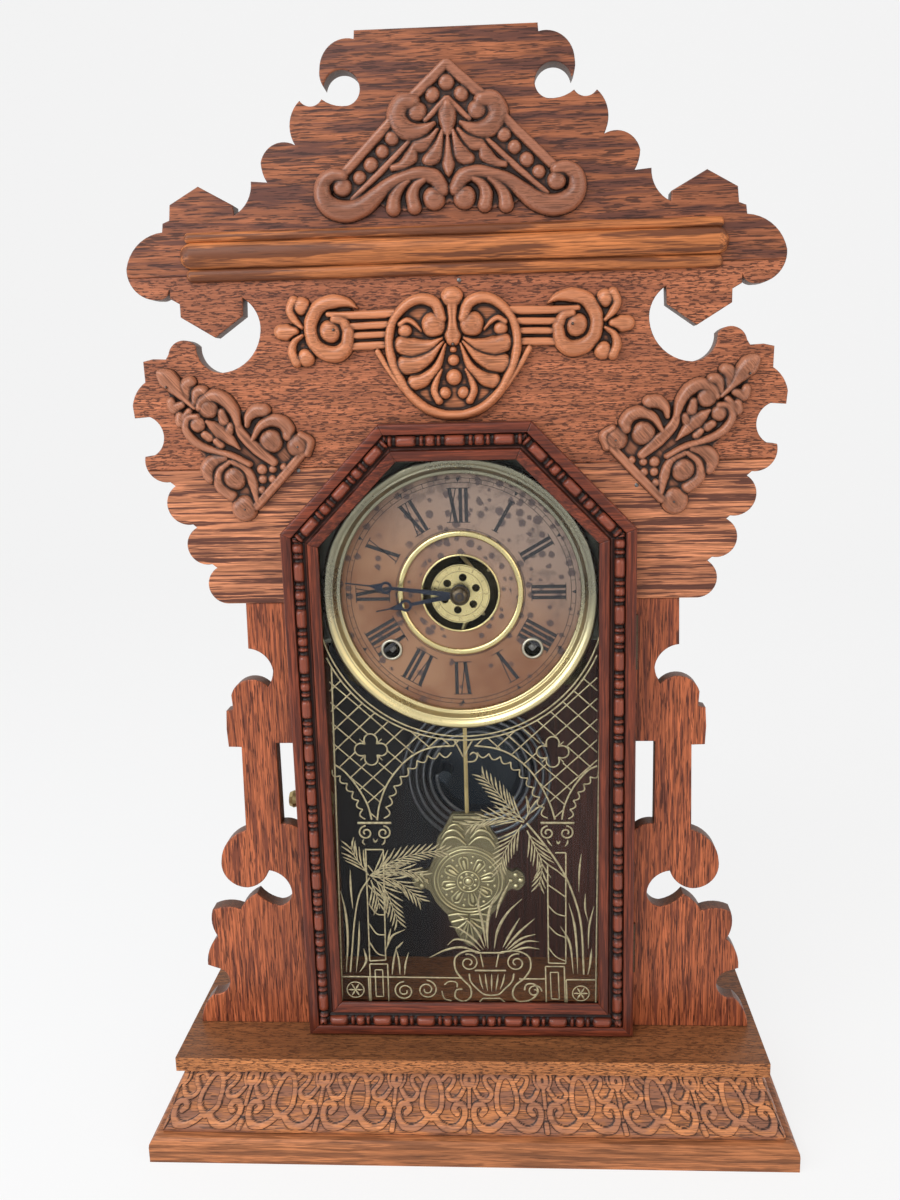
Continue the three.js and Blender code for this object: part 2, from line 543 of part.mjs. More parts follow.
// Where an arbor stands that is one distance from a and another from b; side picks the left or right one.
function meshPoint(a, ra, b, rb, side) {
  const dx = b[0] - a[0];
  const dz = b[1] - a[1];
  const d = Math.hypot(dx, dz);
  const along = (ra * ra - rb * rb + d * d) / (2 * d);
  const off = side * Math.sqrt(ra * ra - along * along);
  return [a[0] + (along * dx - off * dz) / d, a[1] + (along * dz + off * dx) / d];
}

const PAIRS = {
  greatToSecond: { module: 0.867, wheel: 60, pinion: 12 },
  secondToCentre: { module: 0.79, wheel: 36, pinion: 12 },
  centreToThird: { module: 0.66, wheel: 48, pinion: 6 },
  thirdToEscape: { module: 0.52, wheel: 60, pinion: 6 },
  cannonToMinute: { module: 0.6, wheel: 36, pinion: 12 },
  minuteToHour: { module: 0.48, wheel: 48, pinion: 12 },
  secondToPin: { module: 0.75, wheel: 36, pinion: 6 },
};
const distance = ({ module, wheel, pinion }) => (module * (wheel + pinion)) / 2;

const TIME_SECOND = meshPoint(TIME_WIND, distance(PAIRS.greatToSecond), CENTRE, distance(PAIRS.secondToCentre), 1);
const STRIKE_SECOND = [-TIME_SECOND[0], TIME_SECOND[1]];
const THIRD_ANGLE = (33 * Math.PI) / 180;
const THIRD = [
  CENTRE[0] + distance(PAIRS.centreToThird) * Math.cos(THIRD_ANGLE),
  CENTRE[1] + distance(PAIRS.centreToThird) * Math.sin(THIRD_ANGLE),
];
const ESCAPE = [0, THIRD[1] + Math.sqrt(distance(PAIRS.thirdToEscape) ** 2 - THIRD[0] ** 2)];
const MINUTE_ARBOR = [-distance(PAIRS.cannonToMinute), DIAL.z];
const PIN_ARBOR = [STRIKE_SECOND[0] - 6, STRIKE_SECOND[1] + Math.sqrt(distance(PAIRS.secondToPin) ** 2 - 36)];
const ESCAPE_RADIUS = 12;
const ESCAPE_TEETH = 48;
const HAMMER_ARBOR = [-10, 262];
const HAMMER_LEAN = 0.3; // how far round the gong the head strikes, from its top

// A wheel or pinion with pointed teeth; phase is the angle of one tooth from +X towards +Z.
function gear(teeth, module, [x, z], y0, y1, phase) {
  const pitchRadius = (teeth * module) / 2;
  const small = teeth < 10;
  const tip = pitchRadius + module * (small ? 0.35 : 0.8);
  const root = pitchRadius - module * 1.15;
  // Pinions have slim leaves with a flat root between them, wheels have plain pointed teeth.
  const half = small ? 0.17 : 0.25;
  const leaf = [[-half, root], [0, tip], [half, root]];
  const tooth = [[0, tip], [0.5, root]];
  const points = [];
  for (let i = 0; i < teeth; i += 1) {
    (teeth < 20 ? leaf : tooth).forEach(([share, radius]) => {
      const angle = phase + ((i + share) * 2 * Math.PI) / teeth;
      points.push([x + radius * Math.cos(angle), z + radius * Math.sin(angle)]);
    });
  }
  return plate(points, y0, y1);
}

// The phase that sets gear b's gap on gear a's tooth, for centres a and b.
function meshedPhase(a, teethA, phaseA, b, teethB) {
  const line = Math.atan2(b[1] - a[1], b[0] - a[0]);
  const pitchA = (2 * Math.PI) / teethA;
  const share = (((phaseA - line) / pitchA) % 1 + 1) % 1;
  return line + Math.PI - ((share + 0.5) * 2 * Math.PI) / teethB;
}

const spokes = ([x, z], inner, outer, y0, y1) => ringPoints(x, z, (inner + outer) / 2, 4, Math.PI / 4)
  .map(([cx, cz]) => rod(cx, cz, (outer - inner) / 2, y0, y1, 6));

// Arbor between the plates, with pivots that run in their holes.
function arbor(place, y0 = PLATE.front + PLATE.thick + GAP, y1 = PLATE.back - GAP) {
  return joined(rod(...place, ARBOR, y0, y1, 8), rod(...place, ARBOR - 0.4, PLATE.front, PLATE.back + PLATE.thick, 8));
}

// A train wheel: arbor, wheel and pinion.
function trainWheel(place, pairAsWheel, wheelY, wheelPhase, pairAsPinion, pinionY, pinionPhase) {
  const wheel = gear(pairAsWheel.wheel, pairAsWheel.module, place, wheelY, wheelY + 1.2, wheelPhase);
  const pinion = gear(pairAsPinion.pinion, pairAsPinion.module, place, pinionY - 1.5, pinionY + 2.7, pinionPhase);
  return joined(arbor(place), wheel, pinion);
}

const DEPTH = {
  great: 24, springSecond: 46.4, strikeSecond: 43, centre: 40, third: 33.4, escape: 24.6, pinWheel: 33.4,
};

const PHASE = {};
PHASE.great = 0.2;
PHASE.secondPinion = meshedPhase(TIME_WIND, 60, PHASE.great, TIME_SECOND, 12);
PHASE.secondWheel = 0;
PHASE.centrePinion = meshedPhase(TIME_SECOND, 36, PHASE.secondWheel, CENTRE, 12);
PHASE.centreWheel = 0;
PHASE.thirdPinion = meshedPhase(CENTRE, 48, PHASE.centreWheel, THIRD, 6);
PHASE.thirdWheel = 0;
PHASE.escapePinion = meshedPhase(THIRD, 60, PHASE.thirdWheel, ESCAPE, 6);
PHASE.cannon = 0;
PHASE.minuteWheel = meshedPhase(CENTRE, 12, PHASE.cannon, MINUTE_ARBOR, 36);
PHASE.minutePinion = 0;
PHASE.hourWheel = meshedPhase(MINUTE_ARBOR, 12, PHASE.minutePinion, CENTRE, 48);
PHASE.strikeSecondPinion = meshedPhase(STRIKE_WIND, 60, PHASE.great, STRIKE_SECOND, 12);
PHASE.pinPinion = meshedPhase(STRIKE_SECOND, 36, 0, PIN_ARBOR, 6);

function plates() {
  const { halfWidth, low, high, front, back, thick } = PLATE;
  const corner = 8;
  const edge = outline([
    [-halfWidth, low + corner], [-halfWidth, high - corner],
    [-halfWidth + corner, high, -halfWidth + 2.4, high - 2.4],
    [halfWidth - corner, high], [halfWidth, high - corner, halfWidth - 2.4, high - 2.4],
    [halfWidth, low + corner], [halfWidth - corner, low, halfWidth - 2.4, low + 2.4],
    [-halfWidth + corner, low],
  ]);
  const windows = [-1, 1].map((s) => [[s * 46, 318], [s * 46, 356], [s * 27, 356], [s * 27, 318]]);
  const pivots = [TIME_SECOND, STRIKE_SECOND, THIRD, ESCAPE, PIN_ARBOR, HAMMER_ARBOR]
    .map((place) => ringPoints(...place, ARBOR - 0.4 + GAP, 6));
  const bigHoles = [TIME_WIND, STRIKE_WIND].map((place) => ringPoints(...place, WINDER + GAP, 8));
  const centreHole = (radius) => ringPoints(...CENTRE, radius, 8);
  const vergeHole = ringPoints(0, VERGE_Z, 1 + GAP, 6);
  const frontSheet = plate(edge, front, front + thick,
    [...windows, ...pivots, ...bigHoles, centreHole(PIPE.cannonOuter + GAP), vergeHole]);
  // The suspension post stands on the front plate, and is slit for the pendulum's spring.
  const post = without(
    box(-4.5, 4.5, PENDULUM.y - 3, front, SUSPENSION_Z, SUSPENSION_Z + 9),
    box(-0.95, 0.95, PENDULUM.y - 4, PENDULUM.y + 3.2, SUSPENSION_Z - 1, SUSPENSION_Z + 8));
  const stud = rod(...MINUTE_ARBOR, ARBOR, 9, front, 10);
  add('movement_front_plate', joined(frontSheet, post, stud), BRASS);
  const backSheet = plate(edge, back, back + thick,
    [...windows, ...pivots, ...bigHoles, centreHole(PIVOT_HOLE), vergeHole]);
  const pillars = [-1, 1].flatMap((s) => [PILLAR.low, PILLAR.high].map(
    (z) => rod(s * PILLAR.x, z, PILLAR.radius, front + thick, CASE.back - CASE.backboard, 8)));
  add('movement_back_plate', joined(backSheet, ...pillars), BRASS);
}

// A great wheel on its winding arbor, whose squared end stands behind the dial's key hole.
function greatWheel(place) {
  const { module, wheel } = PAIRS.greatToSecond;
  const rim = without(gear(wheel, module, place, DEPTH.great, DEPTH.great + 1.4, PHASE.great),
    ...spokes(place, 9, 21, DEPTH.great - 1, DEPTH.great + 3));
  const square = Math.SQRT2 * 1.7;
  return joined(rod(...place, WINDER, PLATE.front - 5, PLATE.back + PLATE.thick, 8), rim,
    rod(...place, 8, DEPTH.great, DEPTH.great + 2.2, 12), rod(...place, square, WINDER_END, PLATE.front, 4));
}

// A mainspring: one flat strip coiled about its arbor.
function mainspring(name, place, hand) {
  const { outer, turns, strip } = SPRING;
  const inner = WINDER + GAP - strip / 2;
  const steps = turns * 12;
  const spiral = (offset) => Array.from({ length: steps + 1 }, (_, i) => {
    const angle = hand * (i * 2 * Math.PI) / 12;
    const radius = inner + strip + ((outer - inner - 2 * strip) * i) / steps + offset;
    return [place[0] + radius * Math.cos(angle), place[1] + radius * Math.sin(angle)];
  });
  const edges = [...spiral(strip / 2), ...spiral(-strip / 2).reverse()];
  add(name, plate(edges, SPRING.front, SPRING.back), STEEL);
}

function timeTrain() {
  add('time_great_wheel', greatWheel(TIME_WIND), BRASS);
  mainspring('time_mainspring', TIME_WIND, 1);
  add('time_second_wheel', trainWheel(TIME_SECOND, PAIRS.secondToCentre, DEPTH.springSecond, PHASE.secondWheel,
    PAIRS.greatToSecond, DEPTH.great, PHASE.secondPinion), BRASS);
  const centreSpokes = spokes(CENTRE, 5.6, 13, DEPTH.centre - 1, DEPTH.centre + 3);
  const centreRim = gear(
    48, PAIRS.centreToThird.module, CENTRE, DEPTH.centre, DEPTH.centre + 1.2, PHASE.centreWheel);
  const centrePinion = gear(
    12, PAIRS.secondToCentre.module, CENTRE, DEPTH.springSecond - 1.4, DEPTH.springSecond + 2.4, PHASE.centrePinion);
  add('centre_wheel', joined(
    rod(...CENTRE, ARBOR, MINUTE.back + 0.1, PLATE.back + PLATE.thick, 10),
    rod(...CENTRE, ARBOR + 0.3, PLATE.front + PLATE.thick + GAP, PLATE.back - GAP, 10),
    without(centreRim, ...centreSpokes), centrePinion), BRASS);
  add('third_wheel', trainWheel(THIRD, PAIRS.thirdToEscape, DEPTH.third, PHASE.thirdWheel,
    PAIRS.centreToThird, DEPTH.centre, PHASE.thirdPinion), BRASS);
  add('escape_wheel', escapeWheel(), BRASS);
}

// Forty-eight hooked teeth: each has a steep leading face and a long sloping back.
function escapeWheel() {
  const points = [];
  for (let i = 0; i < ESCAPE_TEETH; i += 1) {
    [[0, ESCAPE_RADIUS], [0.12, ESCAPE_RADIUS - 1.6], [0.7, ESCAPE_RADIUS - 1.6]].forEach(([share, radius]) => {
      const angle = Math.PI / 2 + ((i + share) * 2 * Math.PI) / ESCAPE_TEETH;
      points.push([ESCAPE[0] + radius * Math.cos(angle), ESCAPE[1] + radius * Math.sin(angle)]);
    });
  }
  const wheel = without(plate(points, DEPTH.escape, DEPTH.escape + 1),
    ...spokes(ESCAPE, 3.4, 9, DEPTH.escape - 1, DEPTH.escape + 2));
  const { module, pinion } = PAIRS.thirdToEscape;
  return joined(arbor(ESCAPE), wheel,
    gear(pinion, module, ESCAPE, DEPTH.third - 1.5, DEPTH.third + 2.7, PHASE.escapePinion));
}

// The verge: a bent strip with a pallet at each end, its arbor, and the crutch with its loop for the rod.
function verge() {
  const reach = ((4.5 * 2 * Math.PI) / ESCAPE_TEETH);
  const clear = ESCAPE_RADIUS + 1.3;
  const palletX = clear * Math.sin(reach);
  const palletZ = ESCAPE[1] + clear * Math.cos(reach);
  const half = [
    [0, VERGE_Z + 1.6], [palletX + 0.8, VERGE_Z - 0.6], [palletX + 0.3, palletZ], [palletX - 0.3, palletZ],
    [palletX - 0.6, VERGE_Z - 2.2], [0, VERGE_Z - 1.2],
  ];
  const strip = plate([...half, ...mirrored(half.slice(1, -1))], DEPTH.escape - 0.4, DEPTH.escape + 1.4);
  const crutchY = 18;
  const loopZ = 331;
  const loop = without(box(-4.4, 4.4, PENDULUM.y - 2.4, crutchY + 0.8, loopZ - 0.8, loopZ + 0.8),
    box(-3, 3, PENDULUM.y - 1.8, crutchY - 1.6, loopZ - 2, loopZ + 2));
  return joined(strip, rod(0, VERGE_Z, 1, crutchY - 0.8, PLATE.back + PLATE.thick, 8),
    box(-1, 1, crutchY - 0.8, crutchY + 0.8, loopZ, VERGE_Z), loop);
}

function motionWork() {
  const cannonY = 15.4;
  const tubeFront = MINUTE.back - HAND_THICK + 0.1;
  const tubeBack = PLATE.front - GAP;
  const { cannonInner, cannonOuter } = PIPE;
  const cannonTube = turned([
    [cannonInner, tubeFront], [cannonOuter, tubeFront], [cannonOuter, tubeBack], [cannonInner, tubeBack],
    [cannonInner, tubeFront],
  ], ...CENTRE, 16);
  const { cannonToMinute, minuteToHour } = PAIRS;
  const bore = (radius) => rod(...CENTRE, radius, -5, 30, 16);
  const cannonGear = gear(12, cannonToMinute.module, CENTRE, cannonY, cannonY + 2.2, PHASE.cannon);
  add('cannon_pinion', joined(cannonTube, without(cannonGear, bore(cannonInner + 0.2))), BRASS);
  const stud = rod(...MINUTE_ARBOR, ARBOR + GAP, 5, 25, 12);
  add('minute_wheel', without(joined(
    gear(36, cannonToMinute.module, MINUTE_ARBOR, cannonY + 0.4, cannonY + 1.4, PHASE.minuteWheel),
    gear(12, minuteToHour.module, MINUTE_ARBOR, 9.6, 11.8, PHASE.minutePinion),
    rod(...MINUTE_ARBOR, 2.1, 9.6, cannonY + 1.4, 12)), stud), BRASS);
  add('hour_wheel', without(joined(
    gear(48, minuteToHour.module, CENTRE, 10.2, 11.2, PHASE.hourWheel),
    rod(...CENTRE, PIPE.hourOuter, HOUR.back - HAND_THICK - 0.4, 11.2, 16)), bore(PIPE.hourInner)), BRASS);
}

function strikeTrain() {
  add('strike_great_wheel', greatWheel(STRIKE_WIND), BRASS);
  mainspring('strike_mainspring', STRIKE_WIND, -1);
  add('strike_second_wheel', trainWheel(STRIKE_SECOND, PAIRS.secondToPin, DEPTH.strikeSecond, 0,
    PAIRS.greatToSecond, DEPTH.great, PHASE.strikeSecondPinion), BRASS);
  // The pin wheel: a plain disc with eight lifting pins for the hammer's tail.
  const pins = ringPoints(...PIN_ARBOR, 8, 8).map(
    ([x, z]) => rod(x, z, 0.7, DEPTH.pinWheel, DEPTH.pinWheel + 3.6, 5));
  const { module, pinion } = PAIRS.secondToPin;
  add('strike_pin_wheel', joined(
    arbor(PIN_ARBOR), rod(...PIN_ARBOR, 10, DEPTH.pinWheel, DEPTH.pinWheel + 1.2, 20), ...pins,
    gear(pinion, module, PIN_ARBOR, DEPTH.strikeSecond - 1.5, DEPTH.strikeSecond + 2.7, PHASE.pinPinion)), BRASS);
}

// The hammer rests just off the gong's outer turn; its arm reaches down behind the back plate.
function hammer() {
  const [x, z] = HAMMER_ARBOR;
  const armY = PLATE.back + PLATE.thick + 2.4;
  const headRadius = 3.4;
  const reach = GONG.coilOuter + GONG.wire + headRadius + 0.7;
  const headX = GONG.x + reach * Math.sin(HAMMER_LEAN);
  const headZ = GONG.z + reach * Math.cos(HAMMER_LEAN);
  add('strike_hammer', joined(arbor(HAMMER_ARBOR), rod(x, z, ARBOR - 0.4, PLATE.back, armY + 0.9, 8),
    rod(x, z, 2.2, armY - 1.2, armY + 1.2, 10), bar(0.9, [x, armY, z], [headX, armY, headZ], 8),
    rod(headX, headZ, headRadius, armY - 3.4, armY + 3.4, 14)), BLACK_STEEL);
}

// ---------------------------------------------------------------- pendulum
function alongPath(points, radius, sides) {
  const vectors = points.map((p) => new THREE.Vector3(...p));
  const extrudePath = new THREE.CatmullRomCurve3(vectors, false, 'catmullrom', 0.5);
  const shape = new THREE.Shape(ringPoints(0, 0, radius, sides).map(([a, b]) => new THREE.Vector2(a, b)));
  return solidOf(new THREE.ExtrudeGeometry(
    shape, { steps: points.length * 3, extrudePath, bevelEnabled: false }));
}

function pendulum() {
  const { y, rod: radius, bobZ, bob, crank } = PENDULUM;
  const springTop = SUSPENSION_Z + 7;
  const rodTop = SUSPENSION_Z - 9;
  const wire = alongPath([
    [0, y, rodTop], [0, y, 336], [0.8, y, 330], [crank - 1, y, 322], [crank, y, 314], [crank, y, 306],
    [crank - 1, y, 299], [0.8, y, 291], [0, y, 285], [0, y, 240], [0, y, 176.6],
  ], radius, 6);
  const strip = box(-0.2, 0.2, y - 2.2, y + 2.2, rodTop - 4, springTop);
  const clip = box(-1.6, 1.6, y - 2.6, y + 2.6, rodTop - 5, rodTop + 2);
  add('pendulum_rod', joined(wire, strip, clip), BRASS);
  const half = outline([
    [0, 181.4], [8.4, 181.4], [17.4, 165, 12.6, 171.6], [bob + 0.6, 148, 21.4, 156.6], [30.6, 144.2, 26.4, 148.6],
    [30.6, 136.8, 33.4, 140.5], [bob + 0.6, 133, 26.4, 132.4], [12.6, 119, 19, 124.4], [7.4, 106, 11, 111.6],
    [0, 98.2, 3.8, 101.6],
  ]);
  const disc = turned([
    [0, y - 3.4], [bob * 0.6, y - 3], [bob, y - 1.4], [bob, y + 1.4], [bob * 0.6, y + 2.6], [0, y + 3],
  ], 0, bobZ, 24);
  const flat = plate([...half, ...mirrored(half.slice(1, -1))], y - 1.6, y + 1.6);
  // The rod's end hangs in a notch at the top of the bob's frame.
  const notch = box(-radius - GAP, radius + GAP, y - 5, y + 5, 176, 190);
  add('pendulum_bob', without(joined(flat, disc), notch), BRASS);
}

// ---------------------------------------------------------------- gong
function gong() {
  const { x, z, baseRadius, coilInner, coilOuter, turns, wire, coilY } = GONG;
  const wall = CASE.back - CASE.backboard;
  const postAngle = Math.PI;
  const post = [x + coilInner * Math.cos(postAngle), z + coilInner * Math.sin(postAngle)];
  add('gong_base', without(joined(
    turned([[0, wall - 7], [baseRadius * 0.7, wall - 6.4], [baseRadius - 2, wall - 3.6], [baseRadius, wall - 1],
      [baseRadius, wall], [0, wall]], x, z, 28),
    rod(...post, 4, coilY - 2.6, wall - 4, 12)), coilSeat(post)), IRON);
  const perTurn = 20;
  const steps = turns * perTurn;
  const path = Array.from({ length: steps + 1 }, (_, i) => {
    const angle = postAngle + (i * 2 * Math.PI) / perTurn;
    const radius = coilInner + 5 + ((coilOuter - coilInner - 5) * i) / steps;
    return new THREE.Vector3(x + radius * Math.cos(angle), coilY, z + radius * Math.sin(angle));
  });
  const start = path[0];
  const lead = new THREE.Vector3(post[0], coilY, start.z);
  const end = path[steps].clone().add(path[steps].clone().sub(path[steps - 1]).setLength(2 * wire));
  add('gong_coil', wireTube([lead, ...path, end], wire, 6), STEEL);
  console.log(`gong coil: least gap between turns ${leastGap(path, wire).toFixed(2)} mm`);
}

const coilSeat = ([px, pz]) => box(px - 8, px + 1.6, GONG.coilY - 1.5, GONG.coilY + 1.5, pz - 1.6, pz + 1.6);

// A round wire through the points, with one section square to the path at each of them.
function wireTube(points, radius, sides) {
  const positions = [];
  points.forEach((p, i) => {
    const before = points[Math.max(i - 1, 0)];
    const after = points[Math.min(i + 1, points.length - 1)];
    const tangent = after.clone().sub(before).normalize();
    const up = new THREE.Vector3(0, 1, 0);
    const side = new THREE.Vector3().crossVectors(tangent, up).normalize();
    for (let k = 0; k < sides; k += 1) {
      const angle = (k * 2 * Math.PI) / sides;
      const v = p.clone().addScaledVector(side, radius * Math.cos(angle)).addScaledVector(up, radius * Math.sin(angle));
      positions.push(v.x, v.y, v.z);
    }
  });
  const faces = [];
  for (let i = 0; i < points.length - 1; i += 1) {
    for (let k = 0; k < sides; k += 1) {
      const a = i * sides + k;
      const b = i * sides + ((k + 1) % sides);
      faces.push(a, b, b + sides, a, b + sides, a + sides);
    }
  }
  const last = (points.length - 1) * sides;
  for (let k = 1; k < sides - 1; k += 1) faces.push(0, k + 1, k, last, last + k, last + k + 1);
  return shell(positions, faces);
}

// The least clear distance between wire surfaces at least half a turn apart along the path.
function leastGap(path, wire) {
  let least = Infinity;
  path.forEach((p, i) => {
    for (let j = i + 10; j < path.length; j += 1) least = Math.min(least, p.distanceTo(path[j]) - 2 * wire);
  });
  return least;
}

frontBoards();
stiles();
crestMoulding();
ornaments();
caseBox();
base();
door();
hinges();
latch();
dial();
hands();
plates();
timeTrain();
add('verge', verge(), STEEL);
motionWork();
strikeTrain();
hammer();
pendulum();
gong();

export default clock;
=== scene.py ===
"""Looks of a carved oak shelf clock: its finishes, and the carved, turned and gilded pieces on its frame."""

import math

import bpy
import numpy as np
from mathutils import Matrix, Vector
from mathutils.geometry import tessellate_polygon


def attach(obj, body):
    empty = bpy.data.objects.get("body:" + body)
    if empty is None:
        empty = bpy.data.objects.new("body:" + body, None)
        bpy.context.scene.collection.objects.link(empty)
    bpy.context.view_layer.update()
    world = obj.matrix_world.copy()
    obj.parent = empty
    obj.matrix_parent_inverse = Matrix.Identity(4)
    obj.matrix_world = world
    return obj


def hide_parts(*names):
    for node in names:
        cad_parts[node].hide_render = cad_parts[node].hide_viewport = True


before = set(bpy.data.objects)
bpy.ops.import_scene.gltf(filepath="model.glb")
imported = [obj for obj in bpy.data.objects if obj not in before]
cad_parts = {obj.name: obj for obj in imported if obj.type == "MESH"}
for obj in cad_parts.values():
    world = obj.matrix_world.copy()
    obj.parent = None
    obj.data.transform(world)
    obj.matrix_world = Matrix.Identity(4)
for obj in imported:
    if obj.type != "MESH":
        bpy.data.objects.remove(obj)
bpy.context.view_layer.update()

bl_info = {
    "name": "Carved Oak Shelf Clock",
    "version": (1, 0, 0),
    "blender": (4, 5, 0),
    "location": "View3D > Sidebar > Shelf Clock",
    "description": "Finishes and carved pieces of an oak shelf clock",
    "category": "Object",
}

# The drawings below are in millimetres, with y counted back from the face of the front boards.
BOARD_FACE = -15.7
DIAL_Z = 311.0
DIAL_FACE = 6.0


def metres(points):
    """Drawing millimetres to the frame's metres: y moves by the board face's own place."""
    points = np.asarray(points, float)
    return (points + np.array([0.0, BOARD_FACE, 0.0])) / 1000.0


# ------------------------------------------------------------------ paths and outlines
def lengths(path):
    """How far along the path each of its points lies."""
    return np.concatenate([[0], np.cumsum(np.hypot(*np.diff(path, axis=0).T))])


def points_at(places, path):
    """The points that lie at the given lengths along the path."""
    along = lengths(path)
    return np.stack([np.interp(places, along, path[:, k]) for k in (0, 1)], axis=-1)


def left_normals(path, *along):
    """Unit normals to the left of the path: its slope at each point, over its length, turned a quarter."""
    tangent = np.gradient(path, *along, axis=0)
    tangent /= np.linalg.norm(tangent, axis=1)[:, None]
    return np.stack([-tangent[:, 1], tangent[:, 0]], axis=1)


def polar(centre, radius, angle):
    """The point at a radius and an angle from a centre."""
    return (centre[0] + radius * math.cos(angle), centre[1] + radius * math.sin(angle))


def straight(a, b):
    """The two ends of a line and its middle."""
    return [a, ((a[0] + b[0]) / 2, (a[1] + b[1]) / 2), b]


def smooth_path(points, per_span=6):
    """A Catmull-Rom curve through the points: on each span the cubic whose end slopes are half the
    difference of the neighbouring points."""
    p = np.asarray(points, float)
    if len(p) < 3:
        t = np.linspace(0, 1, per_span + 1)[:, None]
        return p[0] * (1 - t) + p[-1] * t
    q = np.vstack([2 * p[0] - p[1], p, 2 * p[-1] - p[-2]])
    t = np.linspace(0, 1, per_span, endpoint=False)[None, :, None]
    a, b, c, d = (q[i : len(q) - 3 + i][:, None, :] for i in range(4))
    square, cube = (2 * a - 5 * b + 4 * c - d) * t**2, (3 * b - a - 3 * c + d) * t**3
    curve = 0.5 * (2 * b + (c - a) * t + square + cube)
    return np.vstack([curve.reshape(-1, p.shape[1]), p[-1:]])


def spiral(centre, start_radius, end_radius, start_turn, turns, steps=26):
    """Points whose radius runs evenly from start to end while the angle runs through the turns."""
    share = np.linspace(0, 1, steps)
    angle = 2 * np.pi * (start_turn + turns * share)
    radius = start_radius + (end_radius - start_radius) * share
    return np.stack([centre[0] + radius * np.cos(angle), centre[1] + radius * np.sin(angle)], axis=1)


def signed_area(outline):
    """The area inside a closed outline, negative where the outline runs clockwise."""
    x, z = outline[:, 0], outline[:, 1]
    return np.sum(x * np.roll(z, -1) - np.roll(x, -1) * z) / 2


def filled(rings):
    """The points of an outline and its holes in one array, triangles that fill it, and twice the area of
    each triangle, negative where it runs clockwise."""
    flat = np.vstack(rings)
    triangles = np.array(tessellate_polygon([[Vector((a, b, 0)) for a, b in ring] for ring in rings]))
    a, b, c = (flat[triangles[:, k]] for k in range(3))
    return flat, triangles, (b - a)[:, 0] * (c - a)[:, 1] - (b - a)[:, 1] * (c - a)[:, 0]


def at_depth(flat, y):
    """Flat (x, z) points, set at the depth y."""
    return np.column_stack([flat[:, 0], np.full(len(flat), y), flat[:, 1]])


# ------------------------------------------------------------------ meshes
def grid_faces(rows, columns, wrap=False, ring=False):
    """Quads of a grid of rows x columns points. Wrap joins the last column to the first, and ring joins the
    last row to the first."""
    down = rows if ring else rows - 1
    across = columns if wrap else columns - 1
    i, j = np.meshgrid(np.arange(down), np.arange(across), indexing="ij")
    right, below = (j + 1) % columns, (i + 1) % rows
    quads = [i * columns + j, i * columns + right, below * columns + right, below * columns + j]
    return np.stack(quads, axis=-1).reshape(-1, 4)


class Relief:
    """Gathers grids of points into one mesh, with a material index per face and a value per point that the
    finishes read: low in hollows, where carved oak paints shade and brass tarnishes, high on crests, where
    carved oak paints a highlight.
    """

    def __init__(self):
        self.points, self.faces, self.kinds, self.wear = [], [], [], []
        self.count = 0

    def put(self, points, faces, wear, kind=0, flip=False):
        """Points and the faces over them, which flip turns round."""
        points = np.asarray(points, float).reshape(-1, 3)
        faces = np.asarray(faces, int) + self.count
        if flip:
            faces = faces[:, ::-1]
        self.points.append(points)
        self.more(faces.tolist(), kind)
        self.wear.append(np.broadcast_to(np.asarray(wear, float), len(points)))
        self.count += len(points)

    def more(self, faces, kind=0):
        """Faces over points that are already in."""
        self.faces.extend(faces)
        self.kinds.extend([kind] * len(faces))

    def tube(self, points, wear, kind=0, flip=False):
        """A grid whose columns close on themselves, with a face over either end."""
        rows, columns = points.shape[:2]
        first = self.count
        self.put(points, grid_faces(rows, columns, wrap=True), wear, kind, flip)
        start = list(range(first, first + columns))
        end = [i + (rows - 1) * columns for i in start]
        self.more([start, end[::-1]] if flip else [start[::-1], end], kind)

    def turn_over(self):
        """Turns every face round, for a mirrored run."""
        self.faces = [face[::-1] for face in self.faces]

    def build(self, name, body, finishes, replaces=()):
        """One object at the origin, its place in its mesh, riding on a body of the frame."""
        mesh = bpy.data.meshes.new(name)
        mesh.from_pydata(metres(np.concatenate(self.points)).tolist(), [], self.faces)
        for finish in finishes:
            mesh.materials.append(material(finish))
        mesh.polygons.foreach_set("material_index", np.array(self.kinds, np.int32))
        mesh.polygons.foreach_set("use_smooth", np.ones(len(self.faces), bool))
        # This value paints shade into carved hollows and a highlight onto crests; on pressed brass it lays
        # tarnish in the hollows.
        wear = mesh.attributes.new("wear", "FLOAT", "POINT")
        wear.data.foreach_set("value", np.concatenate(self.wear).astype(np.float32))
        mesh.update()
        piece = bpy.data.objects.new(name, mesh)
        bpy.context.scene.collection.objects.link(piece)
        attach(piece, body)
        if replaces:
            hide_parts(*replaces)
        return piece


def end_rows(path, reach):
    """The path with rows added near both ends, at growing shares of the reach."""
    path = np.asarray(path, float)
    along = lengths(path)
    extra = reach * np.array([0.03, 0.12, 0.27, 0.5, 0.8])
    places = np.unique(np.concatenate([along, extra, along[-1] - extra]))
    return points_at(places[(places >= 0) & (places <= along[-1])], path)


